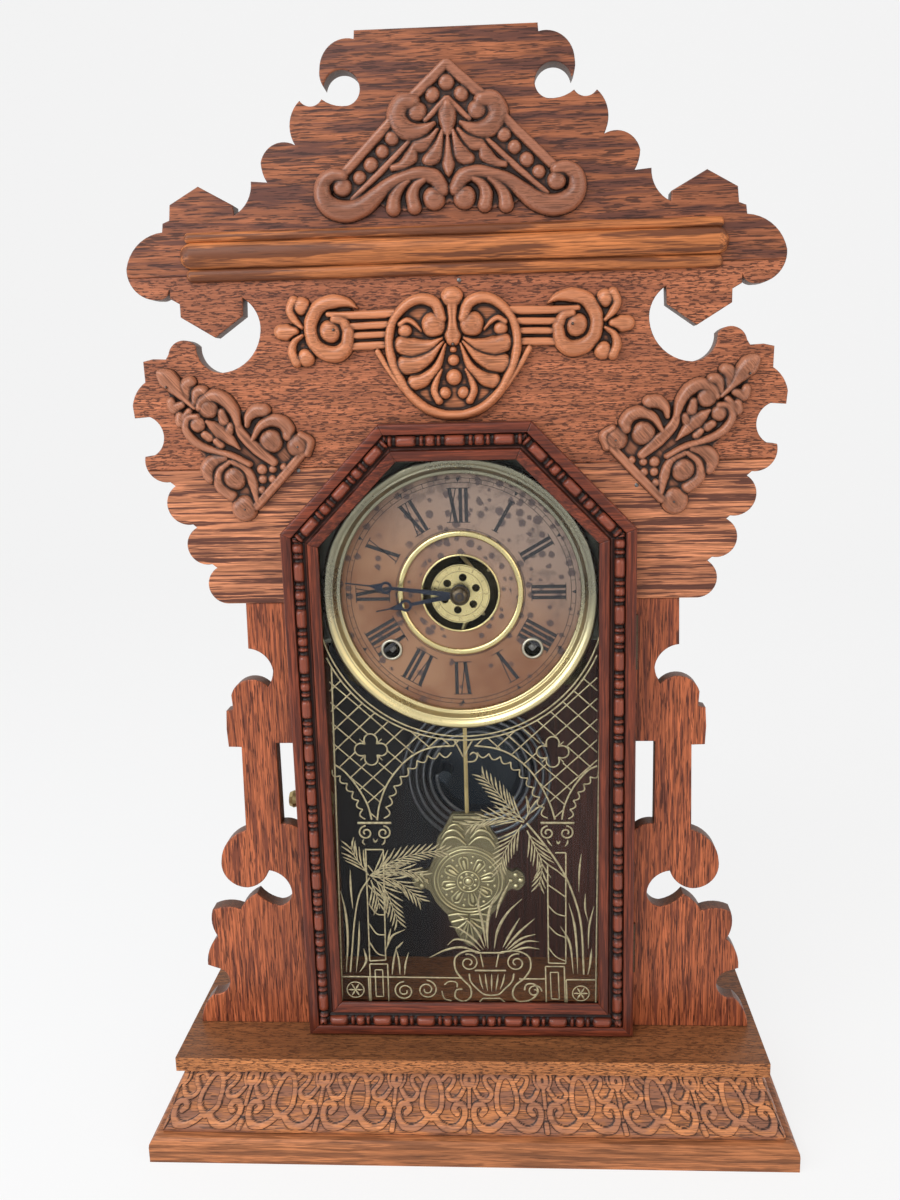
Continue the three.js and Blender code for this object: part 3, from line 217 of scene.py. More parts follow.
def stroke(relief, path, widths, crest, base=0.0, mirror=False, columns=9, power=0.8, blunt=1.0, face=0.0):
    """A carved ridge along a path in the (x, z) plane. Across it the offset is the half width times cos(a)
    and the height is base plus (crest - base) times sin(a) to a power. Over the last half width, times
    blunt, both shrink like a circle's chord, to 0.06 of their size."""
    widths = np.atleast_1d(widths)
    path = end_rows(path, np.mean(widths) / 2 * blunt)
    along = lengths(path)
    share = along / along[-1]
    half = np.interp(share, np.linspace(0, 1, len(widths)), widths) / 2
    normal = left_normals(path, along)
    near = np.minimum(along, along[-1] - along) / np.maximum(half * blunt, 1e-3)
    cap = np.sqrt(1 - (1 - np.clip(near, 0, 1)) ** 2) * 0.94 + 0.06
    half, high = half * cap, (crest - base) * cap
    angle = np.linspace(0, np.pi, columns)
    offset = half[:, None] * np.cos(angle)[None, :]
    lift = base + high[:, None] * np.sin(angle)[None, :] ** power
    side = -1.0 if mirror else 1.0
    x = side * (path[:, 0:1] + normal[:, 0:1] * offset)
    z = path[:, 1:2] + normal[:, 1:2] * offset
    wear = np.broadcast_to(np.sin(angle) ** 0.5, x.shape) * np.clip(cap, 0, 1)[:, None]
    relief.tube(np.stack([x, face - lift, z], axis=-1), wear.reshape(-1), flip=not mirror)


def dome(relief, x, z, radius, crest, base=0.0, kind=0, around=18, rows=6, face=0.0, flat=1.0):
    """A round boss: at polar angle a its radius is r sin(a) and its height is base plus (crest - base) times
    cos(a) to the power flat; one point closes the top and one face the foot."""
    tilt = np.linspace(np.pi / 2, 0, rows, endpoint=False)
    turn = np.arange(around) * 2 * np.pi / around
    ring = radius * np.sin(tilt)
    lift = base + (crest - base) * np.cos(tilt) ** flat
    px = x + ring[:, None] * np.cos(turn)
    pz = z + ring[:, None] * np.sin(turn)
    py = np.broadcast_to((face - lift)[:, None], px.shape)
    wear = np.append(np.repeat(np.cos(tilt) ** 0.4, around), 1.0)
    points = np.vstack([np.stack([px, py, pz], axis=-1).reshape(-1, 3), [x, face - crest, z]])
    first = relief.count
    relief.put(points, grid_faces(rows, around, wrap=True), wear, kind)
    last = first + (rows - 1) * around
    fan = [[last + i, last + (i + 1) % around, first + rows * around] for i in range(around)]
    relief.more([*fan, [first + i for i in range(around)][::-1]], kind)


def turned(relief, profile, x=0.0, z=DIAL_Z, around=160, kind=0, wear=1.0):
    """A closed profile of (radius, y) carried round an axis along Y through (x, z)."""
    profile = np.asarray(profile, float)
    turn = (np.arange(around) * 2 * np.pi / around)[:, None]
    px = x + profile[:, 0] * np.cos(turn)
    pz = z + profile[:, 0] * np.sin(turn)
    py = np.broadcast_to(profile[:, 1], px.shape)
    faces = grid_faces(around, len(profile), wrap=True, ring=True)
    values = np.broadcast_to(np.asarray(wear, float), px.shape).reshape(-1)
    relief.put(np.stack([px, py, pz], -1), faces, values, kind, flip=signed_area(profile) > 0)


def band(radius, half, front, back):
    """The profile of a flat band that reaches half to either side of its radius."""
    return [(radius - half, back), (radius - half, front), (radius + half, front), (radius + half, back)]


def flat_shape(relief, outline, y_front, y_back, wear=1.0):
    """A thin flat plate: the outline in the (x, z) plane filled in front and carried straight back."""
    outline, triangles, twice = filled([np.asarray(outline, float)])
    if twice.sum() < 0:
        triangles = triangles[:, ::-1]
    front, back = at_depth(outline, y_front), at_depth(outline, y_back)
    relief.put(front, triangles, wear)
    relief.put(back, triangles, wear, flip=True)
    i = np.arange(len(outline))
    after = np.roll(i, -1)
    sides = np.stack([i, after, after + len(i), i + len(i)], axis=1)
    relief.put(np.vstack([front, back]), sides, wear, flip=signed_area(outline) > 0)


# ------------------------------------------------------------------ materials
class Shader:
    """Adds nodes to one new material, or to the world, and links them."""

    def __init__(self, name, world=None):
        self.material = world or bpy.data.materials.new(name)
        self.material.use_nodes = True
        self.tree = self.material.node_tree
        self.tree.nodes.clear()
        self.place = self.add("ShaderNodeTexCoord").outputs["Object"]

    def add(self, kind, inputs=None, **settings):
        """A node with these settings, and with its inputs, by name or number, set or linked."""
        node = self.tree.nodes.new(kind)
        for key, value in settings.items():
            setattr(node, key, value)
        for key, value in (inputs or {}).items():
            self.set(node.inputs[key], value)
        return node

    def set(self, socket, value):
        """Links a socket to another, or gives it a number, a vector or a colour."""
        if isinstance(value, bpy.types.NodeSocket):
            self.tree.links.new(value, socket)
        elif isinstance(value, tuple) and len(value) == 3 and len(socket.default_value) == 4:
            socket.default_value = (*value, 1.0)
        else:
            socket.default_value = value

    def stretch(self, scale, offset=(0, 0, 0), turn=(0, 0, 0), vector=None):
        """Object coordinates, or another vector, turned, scaled and moved."""
        vector = self.place if vector is None else vector
        inputs = {"Vector": vector, "Scale": scale, "Location": offset, "Rotation": turn}
        return self.add("ShaderNodeMapping", inputs).outputs["Vector"]

    def noise(self, vector, detail=2.0, roughness=0.5, distortion=0.0):
        inputs = {"Vector": vector, "Scale": 1.0, "Detail": detail, "Roughness": roughness}
        return self.add("ShaderNodeTexNoise", {**inputs, "Distortion": distortion}).outputs["Fac"]

    def even_noise(self, per_metre, detail=2.0, roughness=0.5, offset=(0, 0, 0)):
        """Noise of the same scale along every axis."""
        return self.noise(self.stretch((per_metre,) * 3, offset), detail, roughness)

    def split(self, vector):
        """The X, Y and Z of a vector."""
        return self.add("ShaderNodeSeparateXYZ", {0: vector}).outputs

    def math(self, operation, a, b=0.0, c=0.0):
        return self.add("ShaderNodeMath", {0: a, 1: b, 2: c}, operation=operation).outputs[0]

    def between(self, value, low, high, out_low=0.0, out_high=1.0):
        """The value mapped smoothly from low..high to the two outputs."""
        inputs = {"Value": value, "From Min": low, "From Max": high, "To Min": out_low, "To Max": out_high}
        return self.add("ShaderNodeMapRange", inputs, interpolation_type="SMOOTHSTEP").outputs["Result"]

    def mix(self, share, a, b):
        return self.add("ShaderNodeMix", {0: share, 6: a, 7: b}, data_type="RGBA").outputs[2]

    def wear(self):
        return self.add("ShaderNodeAttribute", attribute_name="wear").outputs["Fac"]

    def bump(self, height, distance, strength):
        inputs = {"Distance": distance, "Strength": strength, "Height": height}
        return self.add("ShaderNodeBump", inputs).outputs["Normal"]

    def either(self, share, shader, other):
        """A mix of two shaders, by the share of the second."""
        return self.add("ShaderNodeMixShader", {0: share, 1: shader.outputs[0], 2: other.outputs[0]})

    def surface(self, shader, output="ShaderNodeOutputMaterial"):
        """Links the shader to an output, and gives the finished material."""
        self.add(output, {"Surface": shader.outputs[0]})
        return self.material

    def finish(self, **sockets):
        inputs = {key.replace("_", " "): value for key, value in sockets.items()}
        return self.surface(self.add("ShaderNodeBsdfPrincipled", inputs))


def tinted(colour, share):
    """The colour times a share, with no channel over 1."""
    return tuple(min(1.0, c * share) for c in colour)


ALONG_X = (0, 0, 0)
ALONG_Z = (0.0, math.radians(90), 0.0)
# Near black: the painted shade, with some grime, that carved finishes lay in their hollows.
HOLLOW_SHADE_AND_GRIME = (0.011, 0.005, 0.004)


def oak(name, light, dark, streak, dash, turn=ALONG_X, offset=(0, 0, 0), carved=False, shine=0.4, side=None):
    """Varnished oak. Streaks are soft dark bands: a noise drawn out along the grain, its edge made ragged
    by the fibre. Dashes are the pores: a noise far longer than wide, cut at a level. Each is given as
    (length, width, level from, level to, strength) in mm. A broad noise varies the stain. On carved pieces
    the shade-and-wear value paints shade into the hollows, near black and standing also for grime, and a
    highlight onto the crests, partly rubbed wear, and only crests have a coat. Side is the strength and
    the colour laid on faces that do not face the front: dust on the boards' sawn edges, painted shade on
    the shelf's top and ends."""
    s = Shader(name)
    grain = s.stretch((1000, 1000, 1000), offset, turn)

    def drawn(length, width, detail, distortion=0.0):
        thin = s.stretch((1 / length, 1 / width, 1 / width), vector=grain)
        return s.noise(thin, detail, 0.55, distortion)

    fibre = drawn(22, 0.7, 3.0)
    ragged = s.math("MULTIPLY_ADD", s.math("SUBTRACT", fibre, 0.5), 0.45, drawn(*streak[:2], 3.0, 0.3))
    streaks = s.between(ragged, *streak[2:4], 0.0, streak[4])
    pores = s.between(drawn(*dash[:2], 2.0), *dash[2:4], 0.0, dash[4])
    stain = drawn(120, 32, 3.0, 0.5)
    stained = tuple(0.4 * a + 0.6 * b for a, b in zip(light, dark))
    body = s.mix(s.between(fibre, 0.34, 0.66), tinted(light, 0.62), tinted(light, 1.3))
    body = s.mix(s.between(stain, 0.42, 0.7, 0.0, 0.55), body, stained)
    body = s.mix(streaks, body, dark)
    body = s.mix(pores, body, tinted(dark, 0.4))
    coat = 0.05
    if carved:
        # Painted shade: the hollows go near black, with some grime. Painted highlight: the crests lighten,
        # partly rubbed wear.
        wear = s.wear()
        coat = s.between(wear, 0.55, 1.0, 0.0, 0.4)
        body = s.mix(s.between(wear, 0.7, 1.0, 0.0, 0.45), body, tinted(light, 1.55))
        body = s.mix(s.between(wear, 0.16, 0.74, 0.97, 0.0), body, HOLLOW_SHADE_AND_GRIME)
    # Faces turned away from the front take the side colour: dust on the boards' sawn edges, painted shade on
    # the shelf's top and ends.
    if side:
        normal = s.split(s.add("ShaderNodeNewGeometry").outputs["Normal"])
        turned_away = s.between(s.math("ABSOLUTE", normal["Y"]), 0.05, 0.4, side[0], 0.0)
        body = s.mix(turned_away, body, side[1])
    height = s.math("SUBTRACT", s.math("MULTIPLY", fibre, 0.5), pores)
    return s.finish(
        Base_Color=body,
        Roughness=s.math("MULTIPLY_ADD", fibre, 0.22, shine - 0.1),
        Normal=s.bump(height, 0.00012, 0.5),
        Specular_IOR_Level=0.25,
        Coat_Weight=coat,
        Coat_Roughness=0.18,
    )


def brass(name, light, tarnish, roughness=0.32, patina=0.5, carved=False, above=None, mottle=90):
    """Old brass: a broad noise lays tarnish over it, and fine scratches vary its gloss. Above the dial's
    middle it may turn to a second colour, over heights in metres."""
    turn_from, turn_to = 0.262, 0.318
    s = Shader(name)
    fine = s.even_noise(900, 2.0, 0.6)
    share = s.between(s.even_noise(mottle, 3.0), 0.35, 0.75, 0.0, patina)
    if carved:
        share = s.math("MAXIMUM", share, s.between(s.wear(), 0.2, 0.9, 0.95, 0.0))
    if above:
        light = s.mix(s.between(s.split(s.place)["Z"], turn_from, turn_to), light, above)
    gloss = s.math("MULTIPLY_ADD", share, 0.25, s.math("MULTIPLY_ADD", fine, 0.1, roughness - 0.05))
    colour = s.mix(share, light, tarnish)
    return s.finish(Base_Color=colour, Metallic=1.0, Roughness=gloss, Normal=s.bump(fine, 0.000004, 0.3))


def case_inside():
    """The backboard: behind the glass painted shade, blue-black, at the left and its red-brown at the right,
    plain brown on its outer face, with an upright grain. The outer face starts at a depth in metres."""
    shade_blue_black, red_brown, plain_brown = (0.013, 0.016, 0.023), (0.135, 0.046, 0.033), (0.10, 0.044, 0.024)
    grain_line, outer_from, outer_to = (0.014, 0.009, 0.008), 0.0555, 0.0575
    s = Shader("case inside")
    place = s.split(s.place)
    grain = s.noise(s.stretch((700, 700, 22)), 3.0, 0.6)
    cloud = s.noise(s.stretch((14, 14, 9)))
    across = s.math("MULTIPLY_ADD", cloud, 0.06, place["X"])
    # Painted shade: blue-black over the left and middle of the inner face, fading to the red-brown at the
    # right.
    body = s.mix(s.between(across, -0.01, 0.07), shade_blue_black, red_brown)
    body = s.mix(s.between(place["Y"], outer_from, outer_to), body, plain_brown)
    body = s.mix(s.math("MULTIPLY", s.between(grain, 0.35, 0.65), 0.6), body, grain_line)
    return s.finish(Base_Color=body, Roughness=0.6, Normal=s.bump(grain, 0.0001, 0.4))


def dark_metal(name, colour, metallic, roughness):
    """Japanned or blued metal with small changes of gloss."""
    s = Shader(name)
    fine = s.even_noise(400, 3.0, 0.6)
    tone = s.mix(s.between(fine, 0.3, 0.8, 0.0, 0.5), colour, tinted(colour, 1.8))
    gloss = s.math("MULTIPLY_ADD", fine, 0.25, roughness - 0.1)
    return s.finish(Base_Color=tone, Metallic=metallic, Roughness=gloss, Normal=s.bump(fine, 0.00004, 0.4))


def dial_paper():
    """Aged paper: pink-tan with a greyer upper right, fox spots as warped round cells that crowd towards
    the upper right and the centre hole, and fine speckle. Places are taken in mm from the dial's middle."""
    brown, tan, grey = (0.195, 0.08, 0.04), (0.325, 0.172, 0.097), (0.31, 0.235, 0.195)
    fox, fleck = (0.055, 0.04, 0.045), (0.16, 0.10, 0.07)
    cells_per_mm, hole_radius = 0.185, 24.5
    s = Shader("aged dial paper")
    place = s.split(s.place)
    x = s.math("MULTIPLY", place["X"], 1000.0)
    z = s.math("SUBTRACT", s.math("MULTIPLY", place["Z"], 1000.0), DIAL_Z)
    radius = s.math("SQRT", s.math("ADD", s.math("MULTIPLY", x, x), s.math("MULTIPLY", z, z)))
    upper_right = s.between(s.math("ADD", s.math("MULTIPLY", x, 0.6), z), -20.0, 60.0)
    broad = s.even_noise(28, 4.0, 0.6)
    paper = s.mix(s.between(broad, 0.3, 0.7), brown, tan)
    paper = s.mix(s.math("MULTIPLY", upper_right, 0.8), paper, grey)
    wobble = s.add("ShaderNodeTexNoise", {"Vector": s.stretch((420, 420, 420))}).outputs["Fac"]
    plane = s.add("ShaderNodeCombineXYZ", {
        "X": s.math("MULTIPLY_ADD", wobble, 0.5, s.math("MULTIPLY", x, cells_per_mm)),
        "Y": s.math("MULTIPLY_ADD", wobble, -0.4, s.math("MULTIPLY", z, cells_per_mm))})
    cells = s.add("ShaderNodeTexVoronoi", {"Vector": plane.outputs[0], "Scale": 1.0}, voronoi_dimensions="2D")
    chance = s.add("ShaderNodeSeparateColor", {0: cells.outputs["Color"]}).outputs
    crowd = s.math("ADD", s.math("MULTIPLY", upper_right, 0.4), 0.2)
    from_hole = s.math("ABSOLUTE", s.math("SUBTRACT", radius, hole_radius))
    crowd = s.math("ADD", crowd, s.between(from_hole, 1.0, 4.0, 0.4, 0.0))
    present = s.between(s.math("SUBTRACT", crowd, chance["Red"]), -0.02, 0.06)
    size = s.math("MULTIPLY_ADD", chance["Green"], 0.3, 0.17)
    round_spot = s.between(s.math("SUBTRACT", size, cells.outputs["Distance"]), -0.09, 0.09)
    spot = s.math("MULTIPLY", s.math("MULTIPLY", present, round_spot), 0.84)
    cloud = s.between(s.even_noise(75, 5.0, 0.65, (1, 0, 4)), 0.47, 0.66)
    clouds = s.math("MULTIPLY", s.math("MULTIPLY", cloud, upper_right), 0.68)
    colour = s.mix(s.math("MAXIMUM", spot, clouds), paper, fox)
    colour = s.mix(s.between(s.even_noise(900), 0.62, 0.75, 0.0, 0.3), colour, fleck)
    return s.finish(Base_Color=colour, Roughness=0.75, Normal=s.bump(broad, 0.0001, 0.3))


def ink():
    """Printer's black, worn through in small flecks."""
    s = Shader("dial ink")
    fleck = s.between(s.even_noise(700, 3.0, 0.6), 0.6, 0.75, 0.0, 0.45)
    return s.finish(Base_Color=s.mix(fleck, (0.011, 0.011, 0.015), (0.26, 0.18, 0.13)), Roughness=0.6)


def gilt():
    """Gold size on the back of the glass: pale dull gold, broken by a fine noise."""
    s = Shader("gilt line")
    worn_and_shaded = s.between(s.even_noise(600, 3.0, 0.6), 0.35, 0.75)
    colour = s.mix(worn_and_shaded, (0.52, 0.44, 0.26), (0.28, 0.225, 0.13))
    return s.finish(Base_Color=colour, Roughness=0.55, Metallic=0.25)


def window_glass():
    """Clear glass that lets lamp light straight through, with its own reflection on top."""
    s = Shader("window glass")
    solid = s.add("ShaderNodeBsdfPrincipled", {
        "Base Color": (0.97, 0.985, 0.975), "Roughness": 0.02, "IOR": 1.16, "Transmission Weight": 1.0})
    ray = s.add("ShaderNodeLightPath").outputs
    passing = s.math("MAXIMUM", ray["Is Shadow Ray"], ray["Is Diffuse Ray"])
    return s.surface(s.either(passing, solid, s.add("ShaderNodeBsdfTransparent")))


MATERIALS = {}


def material(name):
    if name not in MATERIALS:
        raise RuntimeError(f"the finish {name} has not been mixed yet")
    return MATERIALS[name]


def mix_finishes(colours):
    """Mixes every finish of the clock once. A streak or a dash is (length, width, level from, level to,
    strength), and a side colour is (strength, colour): dust on the boards' sawn edges, painted shade on
    the shelf's top and ends."""
    rose, deep = tuple(colours.oak_light), tuple(colours.oak_dark)
    wide = (85, 6.5, 0.47, 0.54, 0.92)
    broken = (60, 4.2, 0.47, 0.58, 0.85)
    lines = (60, 1.5, 0.50, 0.545, 0.93)
    upright = (34, 1.5, 0.51, 0.57, 0.8)
    slanted = (30, 2.2, 0.46, 0.62, 0.55)
    loose = (50, 2.6, 0.5, 0.6, 0.7)
    clouded = (30, 5.5, 0.44, 0.58, 0.75)
    faint = (60, 5.0, 0.5, 0.7, 0.45)
    ribbons = (45, 1.7, 0.48, 0.56, 0.7)
    specks = (3.6, 0.62, 0.52, 0.57, 0.85)
    hairs = (16, 0.6, 0.54, 0.66, 0.5)
    long_dashes = (10, 0.7, 0.53, 0.59, 0.8)
    close_dashes = (12, 0.7, 0.555, 0.61, 0.8)
    dusty = (0.8, (0.085, 0.052, 0.036))
    # Painted shade laid on the shelf's top and ends.
    shaded = (0.62, (0.12, 0.05, 0.024))
    along_corner = (0, math.radians(-48), 0)
    moulding = {"light": (0.23, 0.05, 0.023), "dark": (0.05, 0.012, 0.009), "streak": ribbons, "dash": hairs}
    # Carved finishes: painted shade in the hollows, a painted highlight, partly rubbed wear, on the crests.
    worn_and_shaded = {"carved": True, "shine": 0.28}
    old_gold = (0.30, 0.27, 0.16)
    MATERIALS.update(
        crest=oak("crest oak", (0.40, 0.133, 0.058), (0.092, 0.034, 0.027), broken, long_dashes, side=dusty),
        middle=oak("middle board oak", rose, deep, faint, specks, offset=(70, 0, 30), side=dusty),
        lower=oak("lower board oak", (0.66, 0.255, 0.125), (0.095, 0.032, 0.023), lines, hairs,
                  offset=(0, 0, 90), side=dusty),
        stile=oak("stile oak", (0.50, 0.138, 0.056), (0.13, 0.034, 0.022), upright, close_dashes,
                  ALONG_Z, offset=(20, 0, 0), side=dusty),
        reed=oak("crest reed oak", (0.62, 0.21, 0.068), (0.14, 0.045, 0.02), wide, hairs, offset=(0, 0, 33)),
        case=oak("case side wood", (0.23, 0.09, 0.04), (0.08, 0.03, 0.015), faint, specks, ALONG_Z,
                 shine=0.6),
        shelf=oak("shelf oak", (0.62, 0.235, 0.08), (0.2, 0.07, 0.03), faint, specks,
                  offset=(10, 0, 0), side=shaded),
        foot=oak("foot oak", (0.52, 0.195, 0.078), (0.14, 0.05, 0.022), loose, hairs, offset=(33, 0, 5)),
        carved=oak("carved oak", (0.52, 0.195, 0.088), (0.22, 0.075, 0.034), faint, hairs, **worn_and_shaded),
        crest_carved=oak("carved crest oak", (0.32, 0.122, 0.066), (0.11, 0.042, 0.027), faint, hairs,
                         **worn_and_shaded),
        corner_carved=oak("carved corner oak", (0.38, 0.15, 0.08), (0.14, 0.052, 0.028), slanted, hairs,
                          along_corner, **worn_and_shaded),
        mahogany=oak("door moulding", **moulding, turn=ALONG_Z, carved=True, shine=0.32),
        mahogany_flat=oak("door moulding level", **moulding, carved=True, shine=0.32),
        embossed=oak("embossed base oak", (0.66, 0.255, 0.098), (0.27, 0.125, 0.088), clouded, long_dashes,
                     offset=(0, 0, 44), carved=True),
        backing=case_inside(),
        paper=dial_paper(),
        ink=ink(),
        gilt=gilt(),
        glass=window_glass(),
        bezel_brass=brass("bezel brass", (0.80, 0.65, 0.34), old_gold, 0.24, 0.4, above=(0.25, 0.235, 0.18),
                          mottle=22),
        bright_brass=brass("bright brass", (0.70, 0.58, 0.29), (0.40, 0.33, 0.16), 0.24, 0.4),
        dull_brass=brass("dull brass", (0.60, 0.47, 0.22), (0.25, 0.19, 0.10), 0.4, 0.6),
        # Brass darkened to near black: painted shade over the movement inside the closed case.
        movement_brass=brass("movement brass", (0.075, 0.062, 0.035), (0.02, 0.018, 0.014), 0.5, 0.8),
        bob_brass=brass("pressed brass", (0.60, 0.53, 0.32), (0.12, 0.10, 0.06), 0.34, 0.35, carved=True),
        steel=dark_metal("spring steel", (0.16, 0.17, 0.19), 1.0, 0.35),
        nail=dark_metal("nail head", (0.16, 0.155, 0.15), 1.0, 0.35),
        rim_metal=brass("rim metal", (0.50, 0.46, 0.38), (0.2, 0.18, 0.14), 0.3, 0.4),
        dark_bronze=dark_metal("dark bronze", (0.075, 0.055, 0.035), 0.9, 0.28),
        engraving=dark_metal("engraved line", (0.14, 0.10, 0.045), 0.3, 0.6),
        grey_sheet=brass("grey sheet", (0.27, 0.28, 0.23), (0.13, 0.14, 0.12), 0.5, 0.6),
        blued=dark_metal("blued steel", (0.012, 0.016, 0.03), 0.5, 0.4),
        iron=dark_metal("black iron", (0.014, 0.022, 0.034), 0.2, 0.42),
    )


NODE_FINISH = {
    "crest": ["crest_board"],
    "middle": ["middle_board"],
    "lower": ["lower_board_left", "lower_board_right"],
    "stile": ["stile_left", "stile_right"],
    "case": ["case_side_left", "case_side_right", "case_top"],
    "backing": ["backboard"],
    "reed": ["crest_moulding"],
    "carved": ["centre_ornament"],
    "crest_carved": ["crest_ornament"],
    "corner_carved": ["corner_ornament_left", "corner_ornament_right"],
    "shelf": ["base_shelf"],
    "foot": ["foot_board"],
    "embossed": ["base_moulding_front", "base_moulding_left", "base_moulding_right"],
    "mahogany": ["door_stile_left", "door_stile_right"],
    "mahogany_flat": ["door_rail_upper_left", "door_rail_top", "door_rail_upper_right", "door_rail_bottom"],
    "glass": ["door_glass"],
    "paper": ["dial_plate"],
    "bezel_brass": ["dial_bezel"],
    "bright_brass": ["dial_centre_ring", "alarm_disc"],
    "bob_brass": ["pendulum_bob"],
    "dull_brass": [
        "door_keeper", "latch", "pendulum_rod",
        "cannon_pinion", "time_great_wheel", "time_second_wheel", "centre_wheel",
        "third_wheel", "escape_wheel", "strike_great_wheel", "strike_second_wheel", "strike_pin_wheel",
    ],
    "dark_bronze": ["hinge_lower_case_leaf", "hinge_upper_case_leaf",
                    "hinge_lower_door_leaf", "hinge_upper_door_leaf"],
    "movement_brass": ["movement_front_plate", "movement_back_plate", "hour_wheel", "minute_wheel"],
    "steel": ["time_mainspring", "strike_mainspring", "gong_coil", "verge"],
    "blued": ["minute_hand", "hour_hand", "strike_hammer"],
    "iron": ["gong_base"],
}


# ------------------------------------------------------------------ fretwork boards
# A step is (x, z) for a straight edge, or (x, z, via x, via z) for an arc through the via point.
UPPER_EDGE = (
    (0, 589.7), (44.2, 589.7), (44.5, 585.9), (61.8, 573.1, 57.8, 582.2), (60.2, 564.8, 61.7, 568.2),
    (43.1, 566.5, 52.5, 572.2), (48.9, 556, 44.5, 558.4), (61.5, 559.4, 55.5, 556.5),
    (72.4, 559.1, 67.2, 556.3), (75.8, 538.9, 77.8, 549.5), (93.4, 531.2, 89.4, 537.6),
    (90.8, 521.9, 92.7, 526.3), (98.9, 522.6), (108.4, 507, 101.7, 512.8), (108.6, 511.6), (125.8, 521.1),
    (140.8, 512.8), (141.6, 505.4), (145.1, 504.1), (145.7, 499.9), (165.6, 482.7, 159.2, 493.9),
    (150.9, 467, 161, 470.7), (144.1, 471.7, 146.3, 468.3), (144.1, 467.3), (139.5, 464.7), (139.5, 458.1),
    (122.3, 447.6), (107.2, 458.1), (106.8, 466.9), (98.7, 450.3, 99.8, 458.6),
    (120.1, 429.9, 106.8, 435.2), (132.7, 443.7, 129.3, 434), (147.4, 439.9, 139.6, 446.7), (149, 437.4),
    (155.7, 437.7), (161, 436.5), (160.8, 426.1), (168.5, 414.2, 166.6, 419.7), (167.9, 407.7),
    (160.1, 408.3), (159.1, 388.3, 153.3, 397.6), (164.1, 387.7), (151.8, 374, 161.3, 377.3),
    (149.3, 371.9), (141.3, 351.3, 154.5, 362.5), (139.4, 349.6), (132.6, 329.7, 145.3, 340.3),
    (130.1, 327.7), (125.6, 308, 135.4, 318.2),
)
STILE_EDGE = (
    (116.2, 308), (116.6, 282.4), (103.7, 269.7, 105.9, 275.9), (107, 260.6, 104.6, 265.2),
    (127.9, 255.9, 118.3, 264.7), (127.4, 247.9), (131.3, 246.9), (131.4, 226, 131.9, 236.8),
    (124.2, 225.8), (125, 176.1), (140.5, 157.7, 138.5, 165.2), (126.3, 140.9, 135.5, 144.2),
    (113.6, 151.6, 118.3, 144.2), (100.9, 138.4, 105.9, 148.2), (108.9, 129.8, 103.3, 132.2),
    (121.1, 137.5, 115.3, 132.2), (131.4, 127.3, 126.9, 133.5), (148, 126.7, 139.7, 128.8),
    (146, 110.1, 148.7, 117.3), (153.2, 91.8, 151.2, 102.6), (147.8, 89.9), (151, 73.1, 141, 81),
    (159.3, 54.9, 155.8, 67.5),
)
STILE_SLOT = ((94, 228), (104.6, 228), (104.6, 180), (94, 176.5, 99.4, 179.6))
# The seams between the boards, the foot of the lower ones, and the shelf that the stiles stand on.
SEAM_UPPER, SEAM_LOWER, BOARD_FOOT, SHELF_TOP = 478.0, 380.0, 308.0, 54.9
BOARD_THICK, STILE_SUNK, BOARD_EDGE = 10.0, 1.2, 0.7
# The opening that the door covers: half its width, its shoulders, and the corner of its narrower top.
OPENING_X, OPENING_SHOULDER, OPENING_TOP, OPENING_TOP_X = 82.0, 342.85, 392.0, 34.67
MIRRORED = np.array([-1.0, 1.0])


def drawn_outline(steps):
    """The outline as points. The centre of an arc through a, b, c is found with complex numbers from the
    ratio of c - a to b - a, and points follow every 8 degrees."""
    points = []
    for step in steps:
        if len(step) == 4:
            a, b, c = complex(*points[-1]), complex(*step[2:]), complex(*step[:2])
            w = (c - a) / (b - a)
            centre = a - (a - b) * (w - abs(w) ** 2) / 2j / w.imag
            to_via, sweep = (np.angle((p - centre) / (a - centre)) % (2 * np.pi) for p in (b, c))
            if to_via > sweep:
                sweep -= 2 * np.pi
            count = max(2, round(abs(sweep) / math.radians(8)))
            angles = np.arange(1, count) * sweep / count
            points += [(p.real, p.imag) for p in centre + (a - centre) * np.exp(1j * angles)]
        points.append(tuple(step[:2]))
    return np.array(points, float)


def stretch_between(points, high, low):
    """The part of an outline that runs down from one level to another, cut where it crosses each."""
    ends = []
    for level in (high, low):
        k = int(np.argmax(points[:, 1] < level - 1e-6))
        if points[k, 1] >= level - 1e-6:
            ends.append((len(points), points[-1]))
            continue
        a, b = points[k - 1], points[k]
        ends.append((k, a + (b - a) * (level - a[1]) / (b[1] - a[1])))
    (first, start), (last, end) = ends
    return np.vstack([start[None], points[first:last], end[None]])


def drawn_in(outline, distance):
    """A closed anticlockwise outline moved inwards: each point moves along the sum of its two edges'
    normals, over one plus their product."""
    edge = np.roll(outline, -1, axis=0) - outline
    edge /= np.maximum(np.linalg.norm(edge, axis=1), 1e-9)[:, None]
    after = np.stack([-edge[:, 1], edge[:, 0]], axis=1)
    before = np.roll(after, 1, axis=0)
    spread = np.maximum(1 + np.sum(before * after, axis=1), 0.35)
    return outline + distance * (before + after) / spread[:, None]


